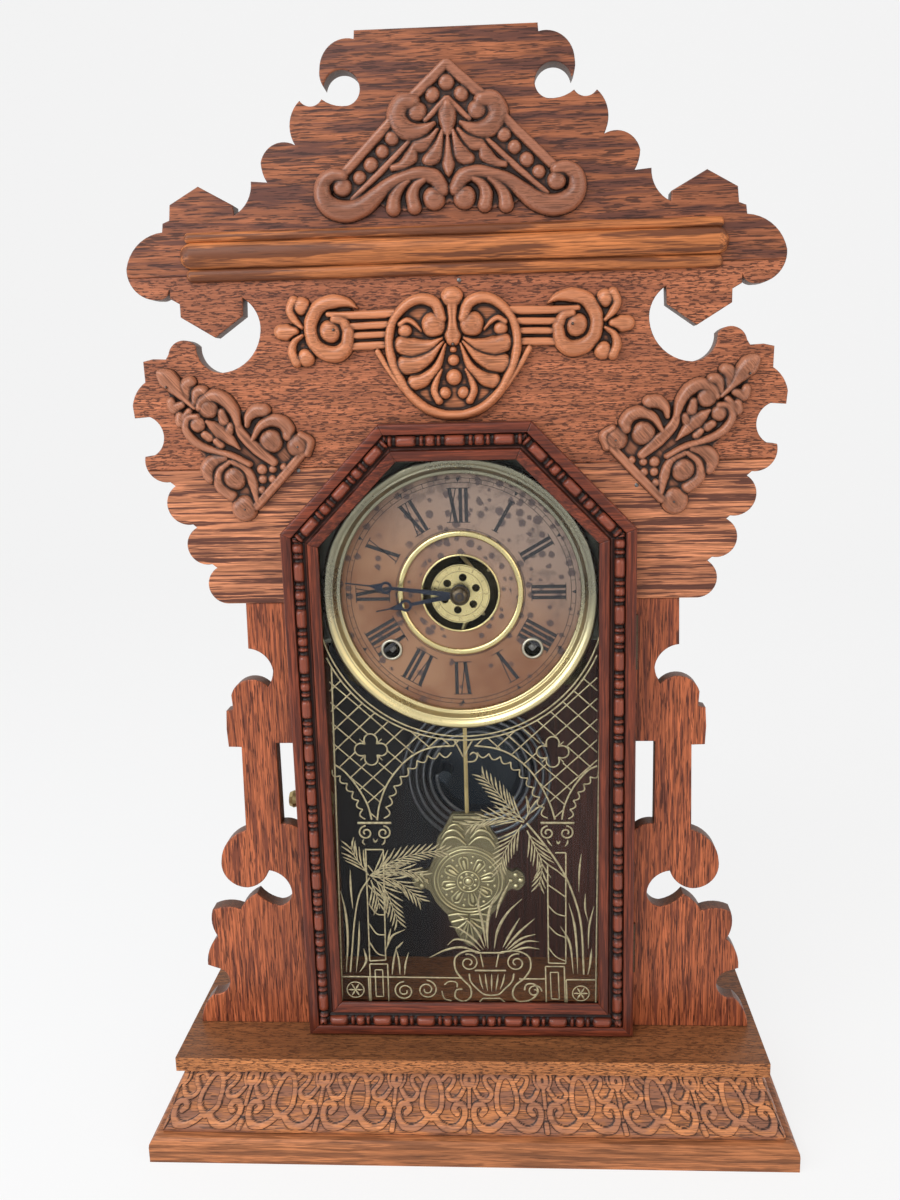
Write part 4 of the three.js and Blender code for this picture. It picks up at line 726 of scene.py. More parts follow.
def fret_board(relief, outline, front, hole=None):
    """A sawn board: every outline is carried from the back to just under the face, then drawn in along a
    quarter circle, inset r(1 - cos a) and height r(1 - sin a), and the face and back are filled."""
    loops = []
    for loop, turn_way in ((outline, 1), (hole, -1)):
        if loop is not None:
            loop = loop[np.linalg.norm(loop - np.roll(loop, 1, axis=0), axis=1) > 1e-4]
            loops.append(loop if signed_area(loop) * turn_way > 0 else loop[::-1])
    faces = []
    for loop in loops:
        rows = [at_depth(loop, BOARD_THICK)]
        for a in np.radians((0, 30, 60, 90)):
            ring = drawn_in(loop, BOARD_EDGE * (1 - math.cos(a)))
            rows.append(at_depth(ring, front + BOARD_EDGE * (1 - math.sin(a))))
        relief.put(np.stack(rows), grid_faces(len(rows), len(loop), wrap=True), 1.0)
        faces.append(ring)
    for rings, y, flip in ((faces, front, False), (loops, BOARD_THICK, True)):
        flat, triangles, twice = filled(rings)
        triangles[twice < 0] = triangles[twice < 0][:, ::-1]
        relief.put(at_depth(flat, y), triangles, 1.0, flip=flip)


class SawBoards(bpy.types.Operator):
    """Saws the fretwork boards and the two stiles, with softened edges"""

    bl_idname = "shelf_clock.saw_boards"
    bl_label = "Saw the front boards"

    def execute(self, context):
        edge = drawn_outline(UPPER_EDGE)
        cross = stretch_between(edge, SEAM_UPPER, SEAM_LOWER)
        crest = np.vstack([edge[: int(np.argmax(edge[:, 1] < SEAM_UPPER))], cross[:1]])
        share = (SEAM_LOWER - OPENING_SHOULDER) / (OPENING_TOP - OPENING_SHOULDER)
        opening = (OPENING_X + (OPENING_TOP_X - OPENING_X) * share, SEAM_LOWER)
        half = np.vstack([cross, [opening, (OPENING_TOP_X, OPENING_TOP)]])
        for name, points, node, finish, slot in (
            ("crest_panel", crest, "crest_board", "crest", "oak_crest"),
            ("middle_panel", half, "middle_board", "middle", "oak_front"),
        ):
            self.saw(name, np.vstack([points, points[::-1] * MIRRORED]), node, finish, slot)
        below = stretch_between(edge, SEAM_LOWER, BOARD_FOOT)
        low = np.vstack([below, [(OPENING_X, BOARD_FOOT), (OPENING_X, OPENING_SHOULDER), opening]])
        stile = np.vstack([[(OPENING_X, SHELF_TOP), (OPENING_X, BOARD_FOOT)], drawn_outline(STILE_EDGE)])
        slot = drawn_outline(STILE_SLOT)
        for name, turn in (("right", 1.0), ("left", MIRRORED)):
            self.saw(f"lower_panel_{name}", low * turn, f"lower_board_{name}", "lower", "oak_front")
            self.saw(f"stile_panel_{name}", stile * turn, f"stile_{name}", "stile", "oak_front", slot * turn,
                     STILE_SUNK)
        return {"FINISHED"}

    def saw(self, name, outline, node, finish, slot, hole=None, front=0.0):
        relief = Relief()
        fret_board(relief, outline, front, hole)
        piece = relief.build(name, "case", [finish], [node])
        piece.data.set_sharp_from_angle(angle=math.radians(40))


# ------------------------------------------------------------------ carved ornaments
# Each stroke: kind, width(s) along it (a radius for round ones), height above the board, points (x, z).
CREST_CARVING = (
    ("bar", (4.6, 4.6), 4.2, ((0.5, 571.9), (16.4, 558.2))),
    ("bar", (4.2, 4.2), 4, ((27.7, 547.2), (50.4, 525.4))),
    ("bar", (2.6, 2.4), 3.2, ((0.5, 556.9), (10.7, 547.2))),
    ("bar", (2.2, 3, 2.6), 3, ((18.7, 538.2), (33.3, 524.7), (47.9, 512.1))),
    ("band", (1.6, 5, 7.3, 8.5, 8.5, 7.9, 6.9), 5.4, ((6.4, 545.6), (11.2, 543), (16.7, 542.2),
        (22.2, 544.9), (24.3, 550.1), (21.6, 555), (17, 555.7))),
    ("ball", 4.6, 4.9, ((14.8, 551.2),)),
    ("band", (5.1, 5.9, 6.5, 7.3, 8.1, 8.1, 7.5, 6.5, 5.9, 5.5, 5.9, 6.5, 6.3), 5.4, ((52.5, 523.1),
        (57.6, 523.2), (62, 519.9), (62.4, 513.4), (58.5, 508.7), (51, 506.7), (43.1, 508.8), (36.2, 513.5),
        (29.1, 518.3), (22, 521.3), (14.3, 522.7), (7.3, 521), (3.5, 515.7))),
    ("ball", 4.4, 4.7, ((52.8, 518),)),
    ("ball", 5.1, 5.2, ((7.5, 511.6),)),
    ("lobe", (2.4, 4, 5.1, 5.3), 4.9, ((11.8, 520.1), (16.2, 517.6), (18.2, 513.1), (17.4, 507.8))),
    ("lobe", (2.4, 4, 5.1, 5.5), 4.9, ((19.7, 519.6), (24.1, 516.8), (27.1, 512.6), (27.9, 507.5))),
    ("petal", (1.6, 3.4, 5.3, 4, 0.8), 4.2, ((-0.3, 541.2), (-0.4, 534), (-0.5, 527.3), (-0.6, 523.9),
        (-0.7, 520.9))),
    ("petal", (1.4, 3.4, 5.9, 5), 4, ((2.7, 542.1), (4.1, 537.2), (6.4, 531.9), (9.4, 529.1))),
    ("petal", (1.4, 3.4, 5.5, 4.6), 4, ((5, 542.8), (8.6, 538.9), (12.2, 536.7), (15.3, 535.8))),
    ("petal", (3, 5.1, 4.4, 2.6), 3.8, ((16.9, 535), (18.6, 530.7), (22.3, 526.9), (27.2, 526))),
    ("band", (4, 7.5, 6.9, 5), 4.4, ((0.2, 554.5), (0.1, 550.7), (0, 546.4), (-0.1, 542.2))),
    ("bead", 4, 4, ((0.3, 564.6),)),
    ("bead", 3.8, 4, ((7.1, 559),)),
    ("bead", 3.8, 4, ((27.4, 540),)),
    ("bead", 3.4, 4, ((32.4, 533.9),)),
    ("bead", 3.7, 4, ((38.2, 527.9),)),
    ("bead", 3.4, 4, ((44, 522.1),)),
)
CENTRE_SCROLL = (
    ("bar", (3.8, 3.8, 3.5, 2.4), 4.3, ((29.8, 457.1), (42.3, 456.8), (54.7, 456.7), (62.8, 457.4))),
    ("bar", 3.3, 4, ((33, 451.7), (51.3, 451.2))),
    ("bar", 3.1, 3.8, ((33.9, 447), (50.3, 446.6))),
    ("bar", 3.6, 3.6, ((34.6, 441.8), (50.6, 441.4))),
    ("band", (0.6, 3.5, 5.9, 6.1, 5.9, 5.9, 6.2, 6.6, 6.6, 5.9, 5.4), 5.6, ((47.9, 460.1), (52.6, 462.9),
        (59.7, 463.6), (67.1, 461.2), (71.2, 455.4), (72.1, 449.3), (70, 442.7), (65.2, 438.9), (59, 438),
        (54.1, 441.9), (52.9, 448.6))),
    ("band", (5.3, 4.9, 4.1), 5.2, ((53.3, 449.2), (55.5, 453.6), (59.7, 454.8))),
    ("ball", 5.4, 5.4, ((62.2, 449),)),
    ("ball", 4.2, 5, ((76.5, 461.7),)),
    ("band", (4.5, 4.1, 3.5, 1.8), 5, ((80.2, 464.2), (82, 459.9), (80.1, 455.2), (76.4, 451.3))),
    ("ball", 4.1, 5, ((75.4, 436.5),)),
    ("band", (1.5, 2.9, 4.1, 4.5), 5, ((76.4, 447.4), (80.7, 444.3), (82.2, 439.4), (80.2, 434.4))),
    ("band", (4.1, 6.5, 5.9), 4.4, ((80.2, 449.7), (84.5, 449.3), (87.5, 449.5))),
)
CENTRE_RING = (
    ("bar", (2.7, 2.7, 2.4), 4, ((38.4, 438.3), (33.2, 429.5), (27.3, 421))),
    ("bar", (2.6, 2.6), 3.6, ((27.3, 421), (22.2, 414.9))),
    ("band", (5.3, 4.9, 4.6, 4.2, 3.9, 3.8, 3.9, 4.1, 4.2, 3.9, 3.9, 4, 4, 4), 5.6, ((5.9, 454.1),
        (8, 460.7), (13.7, 463.6), (19.9, 462.8), (25.5, 459), (29.8, 453.5), (32, 447.3), (32.2, 440),
        (30.7, 432.1), (26.8, 423.5), (21.4, 415.4), (13.8, 409.2), (5.4, 406.2), (-1, 405.8))),
    ("ball", 5.8, 5.8, ((9.4, 451),)),
    ("ball", 3.4, 4.6, ((24.3, 448.5),)),
    ("band", (0.8, 2, 2.6, 2.9), 4.4, ((15.9, 448.1), (19.1, 451.6), (22.9, 453.5), (26.5, 451.7))),
    ("petal", (0.8, 4.7, 7.1, 6.5), 5, ((5.6, 444.2), (12.6, 440.5), (20.7, 439.7), (25.8, 441.4))),
    ("petal", (0.8, 4.1, 6.5, 6.9), 5, ((5, 442.4), (11.8, 435.6), (19.3, 431.7), (24.9, 431.3))),
    ("petal", (0.8, 3.2, 4.9, 5.6), 5, ((3.9, 441.2), (8.5, 430.1), (14.7, 424.4), (20.2, 422.7))),
    ("band", (0.8, 2.9, 3.5, 3.5), 4.8, ((6.1, 428.6), (9, 423.3), (10, 418.3), (7.9, 413.3))),
    ("ball", 2.9, 4.8, ((4.9, 417.1),)),
)
CENTRE_STEM = (
    ("ball", 4.9, 5.2, ((0.3, 464),)),
    ("band", (5.3, 3.3, 2.6, 4.1, 6.1, 4.7), 4.6, ((0.5, 463.3), (0.8, 457.9), (0.8, 453), (0.8, 448.8),
        (0.8, 445.7), (0.8, 443.3))),
    ("bead", 1.6, 3.8, ((0.2, 438.6),)),
    ("bead", 2.8, 4.6, ((0.1, 433.4),)),
    ("bead", 4, 5.2, ((-0.1, 424.9),)),
)
CORNER_CARVING = (
    ("bar", (4.1, 4.2, 4.1), 3.8, ((79.8, 387.9), (92.4, 374.5), (105.6, 361))),
    ("ball", 5.8, 4.8, ((81.7, 392.1),)),
    ("band", (3.4, 4.1, 3), 4.4, ((77.3, 387.9), (75.9, 393.9), (80.4, 397.6))),
    ("ball", 6.2, 4.8, ((112.3, 359.9),)),
    ("ball", 5.8, 5, ((96.1, 394.7),)),
    ("band", (2.1, 4.1, 5.5, 5.8, 5.8, 4.8), 4.8, ((105.5, 395.5), (101, 402.2), (95.1, 405.1),
        (89.6, 403.9), (86.9, 400.3), (87, 397.2))),
    ("band", (2.1, 4.1, 5.8, 5.8), 4.8, ((108, 402.8), (106.9, 407.2), (103.1, 410.2), (98.9, 410.2))),
    ("bar", (4.1, 5.8, 4.8, 3.4), 4.2, ((95.3, 383.8), (103.4, 390.7), (110.7, 398.3), (112.8, 404.9))),
    ("band", (3.4, 4.8, 5.8, 5.9, 5.5, 4.1), 5.2, ((112.4, 403.4), (114.3, 410), (118.4, 415.7),
        (124.2, 418.2), (130.1, 415.8), (132.2, 412.5))),
    ("ball", 5.2, 5.4, ((127.9, 412.4),)),
    ("lobe", (4.8, 5.8, 3.4), 4.6, ((130, 420.5), (132.9, 419.7), (134.5, 414.6))),
    ("lobe", (4.8, 6.2, 3.4), 4.4, ((136.4, 425.4), (138.7, 423.1), (138.1, 417.4))),
    ("petal", (1.6, 3.4, 5.8, 6.8, 4.1, 0.7), 5, ((134.6, 412.4), (140.3, 418.1), (143.8, 423),
        (148, 427.2), (150.8, 429.7), (152.8, 431))),
    ("lobe", (4.1, 5.2, 3.4), 4.4, ((146.9, 415.7), (145.5, 412.9), (141.1, 414.4))),
    ("lobe", (4.1, 5.5, 3.4), 4.4, ((142.7, 408.6), (142.1, 405.7), (137.5, 410.9))),
    ("ball", 4.2, 5.2, ((133.9, 404.3),)),
    ("band", (3.4, 4.1, 4.1, 4, 3.7, 3.4, 3, 2.7), 5, ((133.7, 407.9), (138.4, 407.2), (140.1, 402.1),
        (137.2, 396.3), (131.4, 392.4), (124.1, 389.6), (116, 387.1), (108, 382.8))),
    ("lobe", (4.1, 4.8), 3.8, ((120.8, 409.8), (120.1, 405.4))),
    ("lobe", (3.8, 4.4), 3.8, ((116.5, 402.6), (118, 399.6))),
    ("lobe", (3.8, 4.4), 3.8, ((130.5, 398.6), (128.4, 397.2))),
    ("lobe", (3.4, 4.1), 3.8, ((124.7, 395.1), (122.9, 392.9))),
    ("petal", (0.7, 4.1, 5.8, 4.1, 1.4), 4.2, ((112.6, 390.8), (117.5, 396), (122.4, 400), (125.7, 402.8),
        (128.9, 405.4))),
    ("band", (2.7, 4.8, 4.1, 3.4), 4.2, ((105.2, 364.1), (106.8, 373.1), (110.2, 380.6), (116.8, 384.3))),
    ("ball", 5.8, 5.2, ((116.5, 375.8),)),
    ("band", (2.7, 4.1, 5.1, 5.2), 4.6, ((118.3, 384.3), (123.9, 379.5), (124.5, 372), (118.6, 366.8))),
    ("lobe", (3.4, 6.2, 6.6, 4.1), 4.6, ((120.5, 386.3), (126.4, 385), (130.2, 380.9), (129.6, 375.7))),
    ("bead", 2.3, 3.4, ((90.1, 381),)),
    ("bead", 2.3, 3.4, ((96.1, 380.2),)),
    ("bead", 2.9, 3.6, ((101.7, 380),)),
    ("bead", 2.5, 3.4, ((96.3, 374.7),)),
    ("bead", 2.5, 3.4, ((101.7, 374.9),)),
    ("bead", 2.7, 3.4, ((102.6, 369),)),
    ("pin", 1, 5.9, ((148.2, 423.2),)),
    ("pin", 1, 5.6, ((81.7, 391.4),)),
    ("pin", 1, 5.6, ((111.5, 359.5),)),
)

CREST_GROUND = (
    (-1, 572), (1, 572), (52, 522), (58, 512), (50, 506.5), (38, 511), (30, 507), (20, 506), (8, 507),
    (-1, 510),
)
RING_GROUND = tuple((30.5 * math.cos(turn), min(439 + 31 * math.sin(turn), 461))
                    for turn in np.linspace(-1.6, 1.6, 24))
SCROLL_GROUND = (
    (20, 459), (50, 459), (54, 462), (62, 464.5), (70, 460), (77, 463), (82, 460), (79, 452), (87, 450),
    (80, 444), (81, 438), (75, 435), (70, 441), (64, 437), (56, 439.5), (52, 440), (20, 440),
)
CORNER_GROUND = (
    (152, 431), (144, 426), (136, 423), (124, 418.5), (113, 410.5), (100, 410.5), (88, 404), (80, 396),
    (78, 388), (106, 358.5), (114, 358), (120, 367), (127, 374), (129, 383), (138, 396), (141, 406),
    (146, 412), (149, 421),
)
# How much each kind of stroke spreads from its drawn width, and how square its section is.
STROKE_SHAPE = {"band": (1.4, 2.1), "petal": (1.66, 2.1), "lobe": (1.5, 2.1), "bar": (1.2, 3.4),
                "ball": (1.2, 2.2), "bead": (1.12, 2.2)}
SUNK, GROUND_HIGH, CARVED_BACK = -0.6, 1.3, 1.2
# How far around a place the carved surface's shade-and-wear value looks: it sets how wide the painted shade
# in the hollows spreads.
HOLLOW_SHADE_REACH = 1.25


def ridge(x, z, path, half, square):
    """Height share of a rounded ridge: (1 - (d/half)^square)^(1/square), d being the distance to the path and
    half the half width at its nearest place."""
    near = np.full(x.shape, 9.0)
    for (x0, z0), (x1, z1), h0, h1 in zip(path[:-1], path[1:], half[:-1], half[1:]):
        dx, dz = x1 - x0, z1 - z0
        share = np.clip(((x - x0) * dx + (z - z0) * dz) / max(dx * dx + dz * dz, 1e-9), 0, 1)
        far = np.hypot(x - x0 - share * dx, z - z0 - share * dz)
        near = np.minimum(near, far / (h0 + (h1 - h0) * share))
    return np.clip(1 - near**square, 0, 1) ** (1 / square)


def inside_outline(x, z, outline):
    """True where a point lies inside the closed outline: it crosses an odd number of edges to its right."""
    inside = np.zeros(x.shape, bool)
    outline = np.asarray(outline, float)
    for (x0, z0), (x1, z1) in zip(outline, np.roll(outline, -1, axis=0)):
        if z0 != z1:
            inside ^= ((z0 > z) != (z1 > z)) & (x < (x1 - x0) * (z - z0) / (z1 - z0) + x0)
    return inside


def blurred(field, radius):
    """The field averaged with bell-curve weights along both axes."""
    reach = np.arange(-int(3 * radius), int(3 * radius) + 1)
    weights = np.exp(-((reach / radius) ** 2) / 2)
    for axis in (0, 1):
        pad = [(0, 0), (0, 0)]
        pad[axis] = (len(reach) // 2, len(reach) // 2)
        wide = np.pad(field, pad, mode="edge")
        size = field.shape[axis]
        total = sum(w * np.take(wide, range(k, k + size), axis) for k, w in enumerate(weights))
        field = total / weights.sum()
    return field


def carved_field(relief, rows, grounds, box, pitch, twin=False, side=1.0):
    """Carves a table of strokes as one surface over a grid: its height is the highest of the sunk ground and
    of every stroke's ridge. Its shade-and-wear value is 0.62 plus the height above the board less the same
    height blurred, over 1.25 mm: low in the hollows, where the finish paints shade, high on the crests,
    where it paints a highlight. A twin is symmetric about x = 0. Outside its strokes it sinks into the
    board, and a back and walls close it there."""
    x0, x1, z0, z1 = box
    xs, zs = np.arange(x0, x1, pitch), np.arange(z0, z1, pitch)
    gx, gz = np.meshgrid(np.abs(xs) if twin else xs, zs, indexing="ij")
    high = np.full(gx.shape, SUNK)
    for outline in grounds:
        high[inside_outline(gx, gz, outline)] = GROUND_HIGH
    for kind, width, crest, points in rows:
        if kind == "pin":
            continue
        spread, square = STROKE_SHAPE[kind]
        if len(points) == 1:
            path, half = np.array([points[0], points[0]], float), np.full(2, width * spread)
        else:
            path = smooth_path(points, 7)
            widths = np.atleast_1d(width)
            share = np.linspace(0, 1, len(path))
            half = np.interp(share, np.linspace(0, 1, len(widths)), widths) / 2 * spread
        low, top = path.min(axis=0) - half.max(), path.max(axis=0) + half.max()
        near = (gx >= low[0]) & (gx <= top[0]) & (gz >= low[1]) & (gz <= top[1])
        lift = SUNK + (crest - SUNK) * ridge(gx[near], gz[near], path, half, square)
        high[near] = np.maximum(high[near], lift)
    above = np.maximum(high, 0)
    wear = np.clip(0.62 + (above - blurred(above, HOLLOW_SHADE_REACH / pitch)) / HOLLOW_SHADE_REACH, 0, 1)
    cell = np.maximum.reduce([high[:-1, :-1], high[1:, :-1], high[:-1, 1:], high[1:, 1:]]) > SUNK + 0.02
    columns = len(zs)
    i, j = np.nonzero(cell)
    corner = i * columns + j
    quads = np.stack([corner, corner + columns, corner + columns + 1, corner + 1], axis=1)
    used, quads = np.unique(quads, return_inverse=True)
    quads = quads.reshape(-1, 4)
    flat = np.column_stack([side * xs[used // columns], zs[used % columns]])
    front, back = at_depth(flat, 0.0), at_depth(flat, CARVED_BACK)
    front[:, 1] = -high.reshape(-1)[used]
    edges = np.concatenate([quads[:, [k, (k + 1) % 4]] for k in range(4)])
    code, reverse = edges[:, 0] * len(used) + edges[:, 1], edges[:, 1] * len(used) + edges[:, 0]
    rim = edges[~np.isin(code, reverse)]
    walls = np.column_stack([rim[:, 1], rim[:, 0], rim[:, 0] + len(used), rim[:, 1] + len(used)])
    faces = np.concatenate([quads, quads[:, ::-1] + len(used), walls])
    relief.put(np.vstack([front, back]), faces, np.tile(wear.reshape(-1)[used], 2), flip=side < 0)


def nail_head(relief, x, z, radius, height, base):
    """A small round nail head of the second finish."""
    dome(relief, x, z, radius, height, base, 1, 12)


class CarveCrest(bpy.types.Operator):
    """Carves the gable-shaped ornament of the crest: bars, beads, volutes and a palmette"""

    bl_idname = "shelf_clock.carve_crest"
    bl_label = "Carve the crest ornament"

    def execute(self, context):
        relief = Relief()
        carved_field(relief, CREST_CARVING, [CREST_GROUND], (-71.1, 71.2, 500, 577.5), 0.45, twin=True)
        relief.build("crest_carving", "case", ["crest_carved"], ["crest_ornament"])
        return {"FINISHED"}


class CarveCentre(bpy.types.Operator):
    """Carves the ornament over the door: a palmette in a ring, with banded arms that end in scrolls"""

    bl_idname = "shelf_clock.carve_centre"
    bl_label = "Carve the centre ornament"

    def execute(self, context):
        relief = Relief()
        rows = CENTRE_SCROLL + CENTRE_RING + CENTRE_STEM
        carved_field(relief, rows, [RING_GROUND, SCROLL_GROUND], (-94.5, 94.6, 401, 473), 0.45, twin=True)
        for x, z, height in ((60.1, 449.6, 6.4), (-60.1, 449.6, 6.4), (0.0, 441.2, 5.6)):
            nail_head(relief, x, z, 1.0, height, 3.0)
        relief.build("centre_carving", "case", ["carved", "nail"], ["centre_ornament"])
        return {"FINISHED"}


class CarveCorners(bpy.types.Operator):
    """Carves the two leaf-and-grape ornaments beside the door's shoulders"""

    bl_idname = "shelf_clock.carve_corners"
    bl_label = "Carve the corner ornaments"

    def execute(self, context):
        finishes = ["corner_carved", "nail"]
        for name, side in (("right", 1.0), ("left", -1.0)):
            relief = Relief()
            carved_field(relief, CORNER_CARVING, [CORNER_GROUND], (70, 158, 350, 436), 0.42, side=side)
            for kind, radius, height, points in CORNER_CARVING:
                if kind == "pin":
                    nail_head(relief, side * points[0][0], points[0][1], radius, height, 1.0)
            relief.build(f"corner_carving_{name}", "case", finishes, [f"corner_ornament_{name}"])
        return {"FINISHED"}


# Each reed: half its length, its lower and upper edge, how far it stands out, how blunt its ends are.
REEDS = ((134.3, 474.8, 481.4, 3.4, 0.8), (137, 480.8, 494.2, 5.6, 1), (134.3, 493.6, 499, 3.2, 0.8))


class LayReeds(bpy.types.Operator):
    """Lays the three rounded reeds across the crest board"""

    bl_idname = "shelf_clock.lay_reeds"
    bl_label = "Lay the crest reeds"

    def execute(self, context):
        relief = Relief()
        for half, low, high, proud, blunt in REEDS:
            path = np.column_stack([np.linspace(-half, half, 90), np.full(90, (low + high) / 2)])
            stroke(relief, path, high - low, proud, -0.2, columns=15, power=0.75, blunt=blunt)
        relief.build("crest_reeds", "case", ["reed"], ["crest_moulding"])
        return {"FINISHED"}


# ------------------------------------------------------------------ door mouldings
DOOR = ((-92.3, 56.4), (-92.3, 347), (-39, 402.3), (39, 402.3), (92.3, 347), (92.3, 56.4))
DOOR_RAILS = (
    "door_stile_left", "door_rail_upper_left", "door_rail_top", "door_rail_upper_right", "door_stile_right",
    "door_rail_bottom",
)
# The rail's section before and after its bead, as (inward, y, shade-and-wear value): a low value paints shade
# into the coves.
RAIL_OUTSIDE = (
    (15.2, -0.4, 0.4), (0, -0.4, 0.8), (0, -10.3, 1), (0.3, -11.2, 1), (1.2, -11.6, 1), (5.2, -11.6, 1),
    (5.5, -11.4, 0.8), (5.7, -9.8, 0.25), (5.9, -9.5, 0.2),
)
RAIL_INSIDE = (
    (11.7, -9.5, 0.2), (12.2, -8.9, 0.25), (12.7, -8.8, 0.45), (13.5, -8.8, 0.3), (13.7, -9.6, 0.4),
    (14.1, -11.2, 0.9), (14.4, -11.35, 1), (18.9, -9.35, 1), (19.2, -9, 0.8), (19.2, -7.7, 0.4),
    (15.2, -7.7, 0.2),
)
# The last value caps the flat strips' shade-and-wear value, under the level where a painted highlight starts.
RAIL_STEP, MITRE_GAP, RAIL_SHEEN_CAP = 0.62, 0.1, 0.68
BEAD_FROM, BEAD_TO, BEAD_BED, BEAD_TOP = 6.0, 11.6, -9.5, -13.2
# One repeat of the bead-and-reel: where each part is centred, its half length, its height, its squareness.
BEAD_PARTS = ((0, 5.4, 1, 5), (8.1, 1.15, 0.86, 2.4), (12.5, 2.7, 1, 2.3), (16.9, 1.15, 0.86, 2.4))
BEAD_PITCH, BEAD_START, BEAD_NECK = 25.0, 4.0, 0.3


def bead_height(along):
    """Height share of the bead-and-reel at a place along it: for each part its share times the root of
    1 - |t|^n, n being its squareness, and a low neck between parts."""
    t = (along + BEAD_PITCH / 2 - BEAD_START) % BEAD_PITCH - BEAD_PITCH / 2 + BEAD_START
    high = np.full(np.shape(along), BEAD_NECK)
    for centre, half, share, square in BEAD_PARTS:
        for shift in (-BEAD_PITCH, 0, BEAD_PITCH):
            inside = np.clip(1 - np.abs((t - centre - shift) / half) ** square, 0, 1)
            high = np.maximum(high, share * np.sqrt(inside))
    return high


def mitre_draw(corner, other, along):
    """How far a mitre draws the rail back for each millimetre inward: 1 over the tangent of half the angle
    between the rail and its neighbour."""
    away = (other - corner) / np.hypot(*(other - corner))
    return 1 / math.tan(math.acos(np.clip(np.dot(away, along), -1, 1)) / 2)


def door_rail(relief, corner):
    """One mitred rail: its section is carried from mitre to mitre, and only the bead's points rise and fall
    along it."""
    before, start, end, after = (np.array(DOOR[(corner + k) % len(DOOR)]) for k in (-1, 0, 1, 2))
    length = np.hypot(*(end - start))
    along = (end - start) / length
    inward = np.array([along[1], -along[0]])
    draw_start, draw_end = mitre_draw(start, before, along), mitre_draw(end, after, -along)
    rows = int(length / RAIL_STEP)
    share = np.linspace(0, 1, rows)
    columns, worn_and_shaded = [], []

    def line(u):
        low, high = MITRE_GAP + draw_start * u, length - MITRE_GAP - draw_end * u
        return low + (high - low) * share

    def add(u, y, wear):
        u, s = np.broadcast_to(u, rows), line(np.mean(u))
        place = start + np.outer(s, along) + u[:, None] * inward
        columns.append(np.stack([place[:, 0], np.broadcast_to(y, rows), place[:, 1]], -1))
        worn_and_shaded.append(np.broadcast_to(wear, rows))

    for u, y, wear in RAIL_OUTSIDE:
        add(u, y, min(wear, RAIL_SHEEN_CAP))
    middle, half = (BEAD_FROM + BEAD_TO) / 2, (BEAD_TO - BEAD_FROM) / 2
    for angle in np.linspace(0, np.pi, 13):
        high = bead_height(line(middle - half * math.cos(angle)) - length / 2)
        u = middle - half * math.cos(angle) * (0.8 + 0.2 * high)
        y = BEAD_BED + (BEAD_TOP - BEAD_BED) * math.sin(angle) ** 0.9 * high
        # Low between the beads: painted shade in the gaps.
        add(u, y, np.clip(0.12 + math.sin(angle) ** 0.5 * (high * 1.2 - 0.3), 0.12, 1))
    for u, y, wear in RAIL_INSIDE:
        add(u, y, min(wear, RAIL_SHEEN_CAP))
    relief.tube(np.stack(columns, axis=1), np.stack(worn_and_shaded, axis=1).reshape(-1), flip=True)


class MouldDoor(bpy.types.Operator):
    """Cuts the six mitred mouldings of the door, with their bead-and-reel"""

    bl_idname = "shelf_clock.mould_door"
    bl_label = "Mould the door"

    def execute(self, context):
        for corner, node in enumerate(DOOR_RAILS):
            relief = Relief()
            door_rail(relief, corner)
            finish = "mahogany" if "stile" in node else "mahogany_flat"
            relief.build(node + "_moulding", "door", [finish], [node])
        return {"FINISHED"}


# ------------------------------------------------------------------ base
SKIRT_TILE = 41.4
# The pressed pattern of one repeat: ridge lines as (half width, points), in mm from its middle and foot.
SKIRT_RIDGES = (
    (1.5, ((0, 8), (4.6, 12), (5.6, 18), (4.4, 24), (2.4, 28), (0, 29.5))),
    (1.7, ((1.5, 9), (5, 5.6), (10, 3.6), (15.2, 5), (18.2, 9.6), (17.4, 14.4), (14, 15.4), (12.2, 12.6),
        (14, 10.6))),
    (1.3, ((5.8, 27), (8.6, 29.6), (12, 28), (11, 24.4), (8.2, 21), (10.4, 17.6), (14.6, 18.4),
        (17.2, 21.6))),
    (1.2, ((20.7, 14), (20.7, 20), (20.7, 25))),
    (1.5, ((20.7, 30), (18.8, 28.4), (18.9, 25.4), (20.7, 24))),
    (0.9, ((16.2, 31.5), (16, 26.6), (18.2, 22.6))),
    (1.5, ((20.7, 6), (20.7, 2.6))),
)
SKIRT_TOP, SKIRT_FOOT, SKIRT_BACK, SKIRT_SINK = 46.6, 14.1, -11.5, 0.8
# How far the moulding's section spreads out at each height, and the plain border of the pattern.
SPREAD_AT, SPREAD = (14.1, 17, 19.6, 25, 31, 39.7, 46.7), (12, 12, 10.4, 7.9, 6.3, 2.5, 0.1)
BORDER_LOW, BORDER_HIGH, BORDER_SOFT = 2.0, 32.4, 1.5
# The mouldings' upper inner corner, the base's back, the gap at the mitres, and the two runs' lengths.
SKIRT_X, SKIRT_Y, BASE_BACK, SKIRT_CUT, FRONT_RUN, SIDE_RUN = 160.0, -26.3, 76.1, 0.15, 330.0, 102.0


def pressed(s, t):
    """Height share of the pressed pattern: 1 on a ridge line, falling to 0 from 0.4 mm inside its half width
    to 0.5 mm outside; the repeat is mirrored about its middle."""
    a = np.abs((s + SKIRT_TILE / 2) % SKIRT_TILE - SKIRT_TILE / 2)
    high = np.zeros(np.broadcast(a, t).shape)
    for half, points in SKIRT_RIDGES:
        path = smooth_path(points, 5)
        for (x0, y0), (x1, y1) in zip(path[:-1], path[1:]):
            dx, dy = x1 - x0, y1 - y0
            share = np.clip(((a - x0) * dx + (t - y0) * dy) / (dx * dx + dy * dy), 0, 1)
            far = np.hypot(a - x0 - share * dx, t - y0 - share * dy)
            high = np.maximum(high, np.clip((half + 0.5 - far) / 0.9, 0, 1))
    return high * high * (3 - 2 * high)


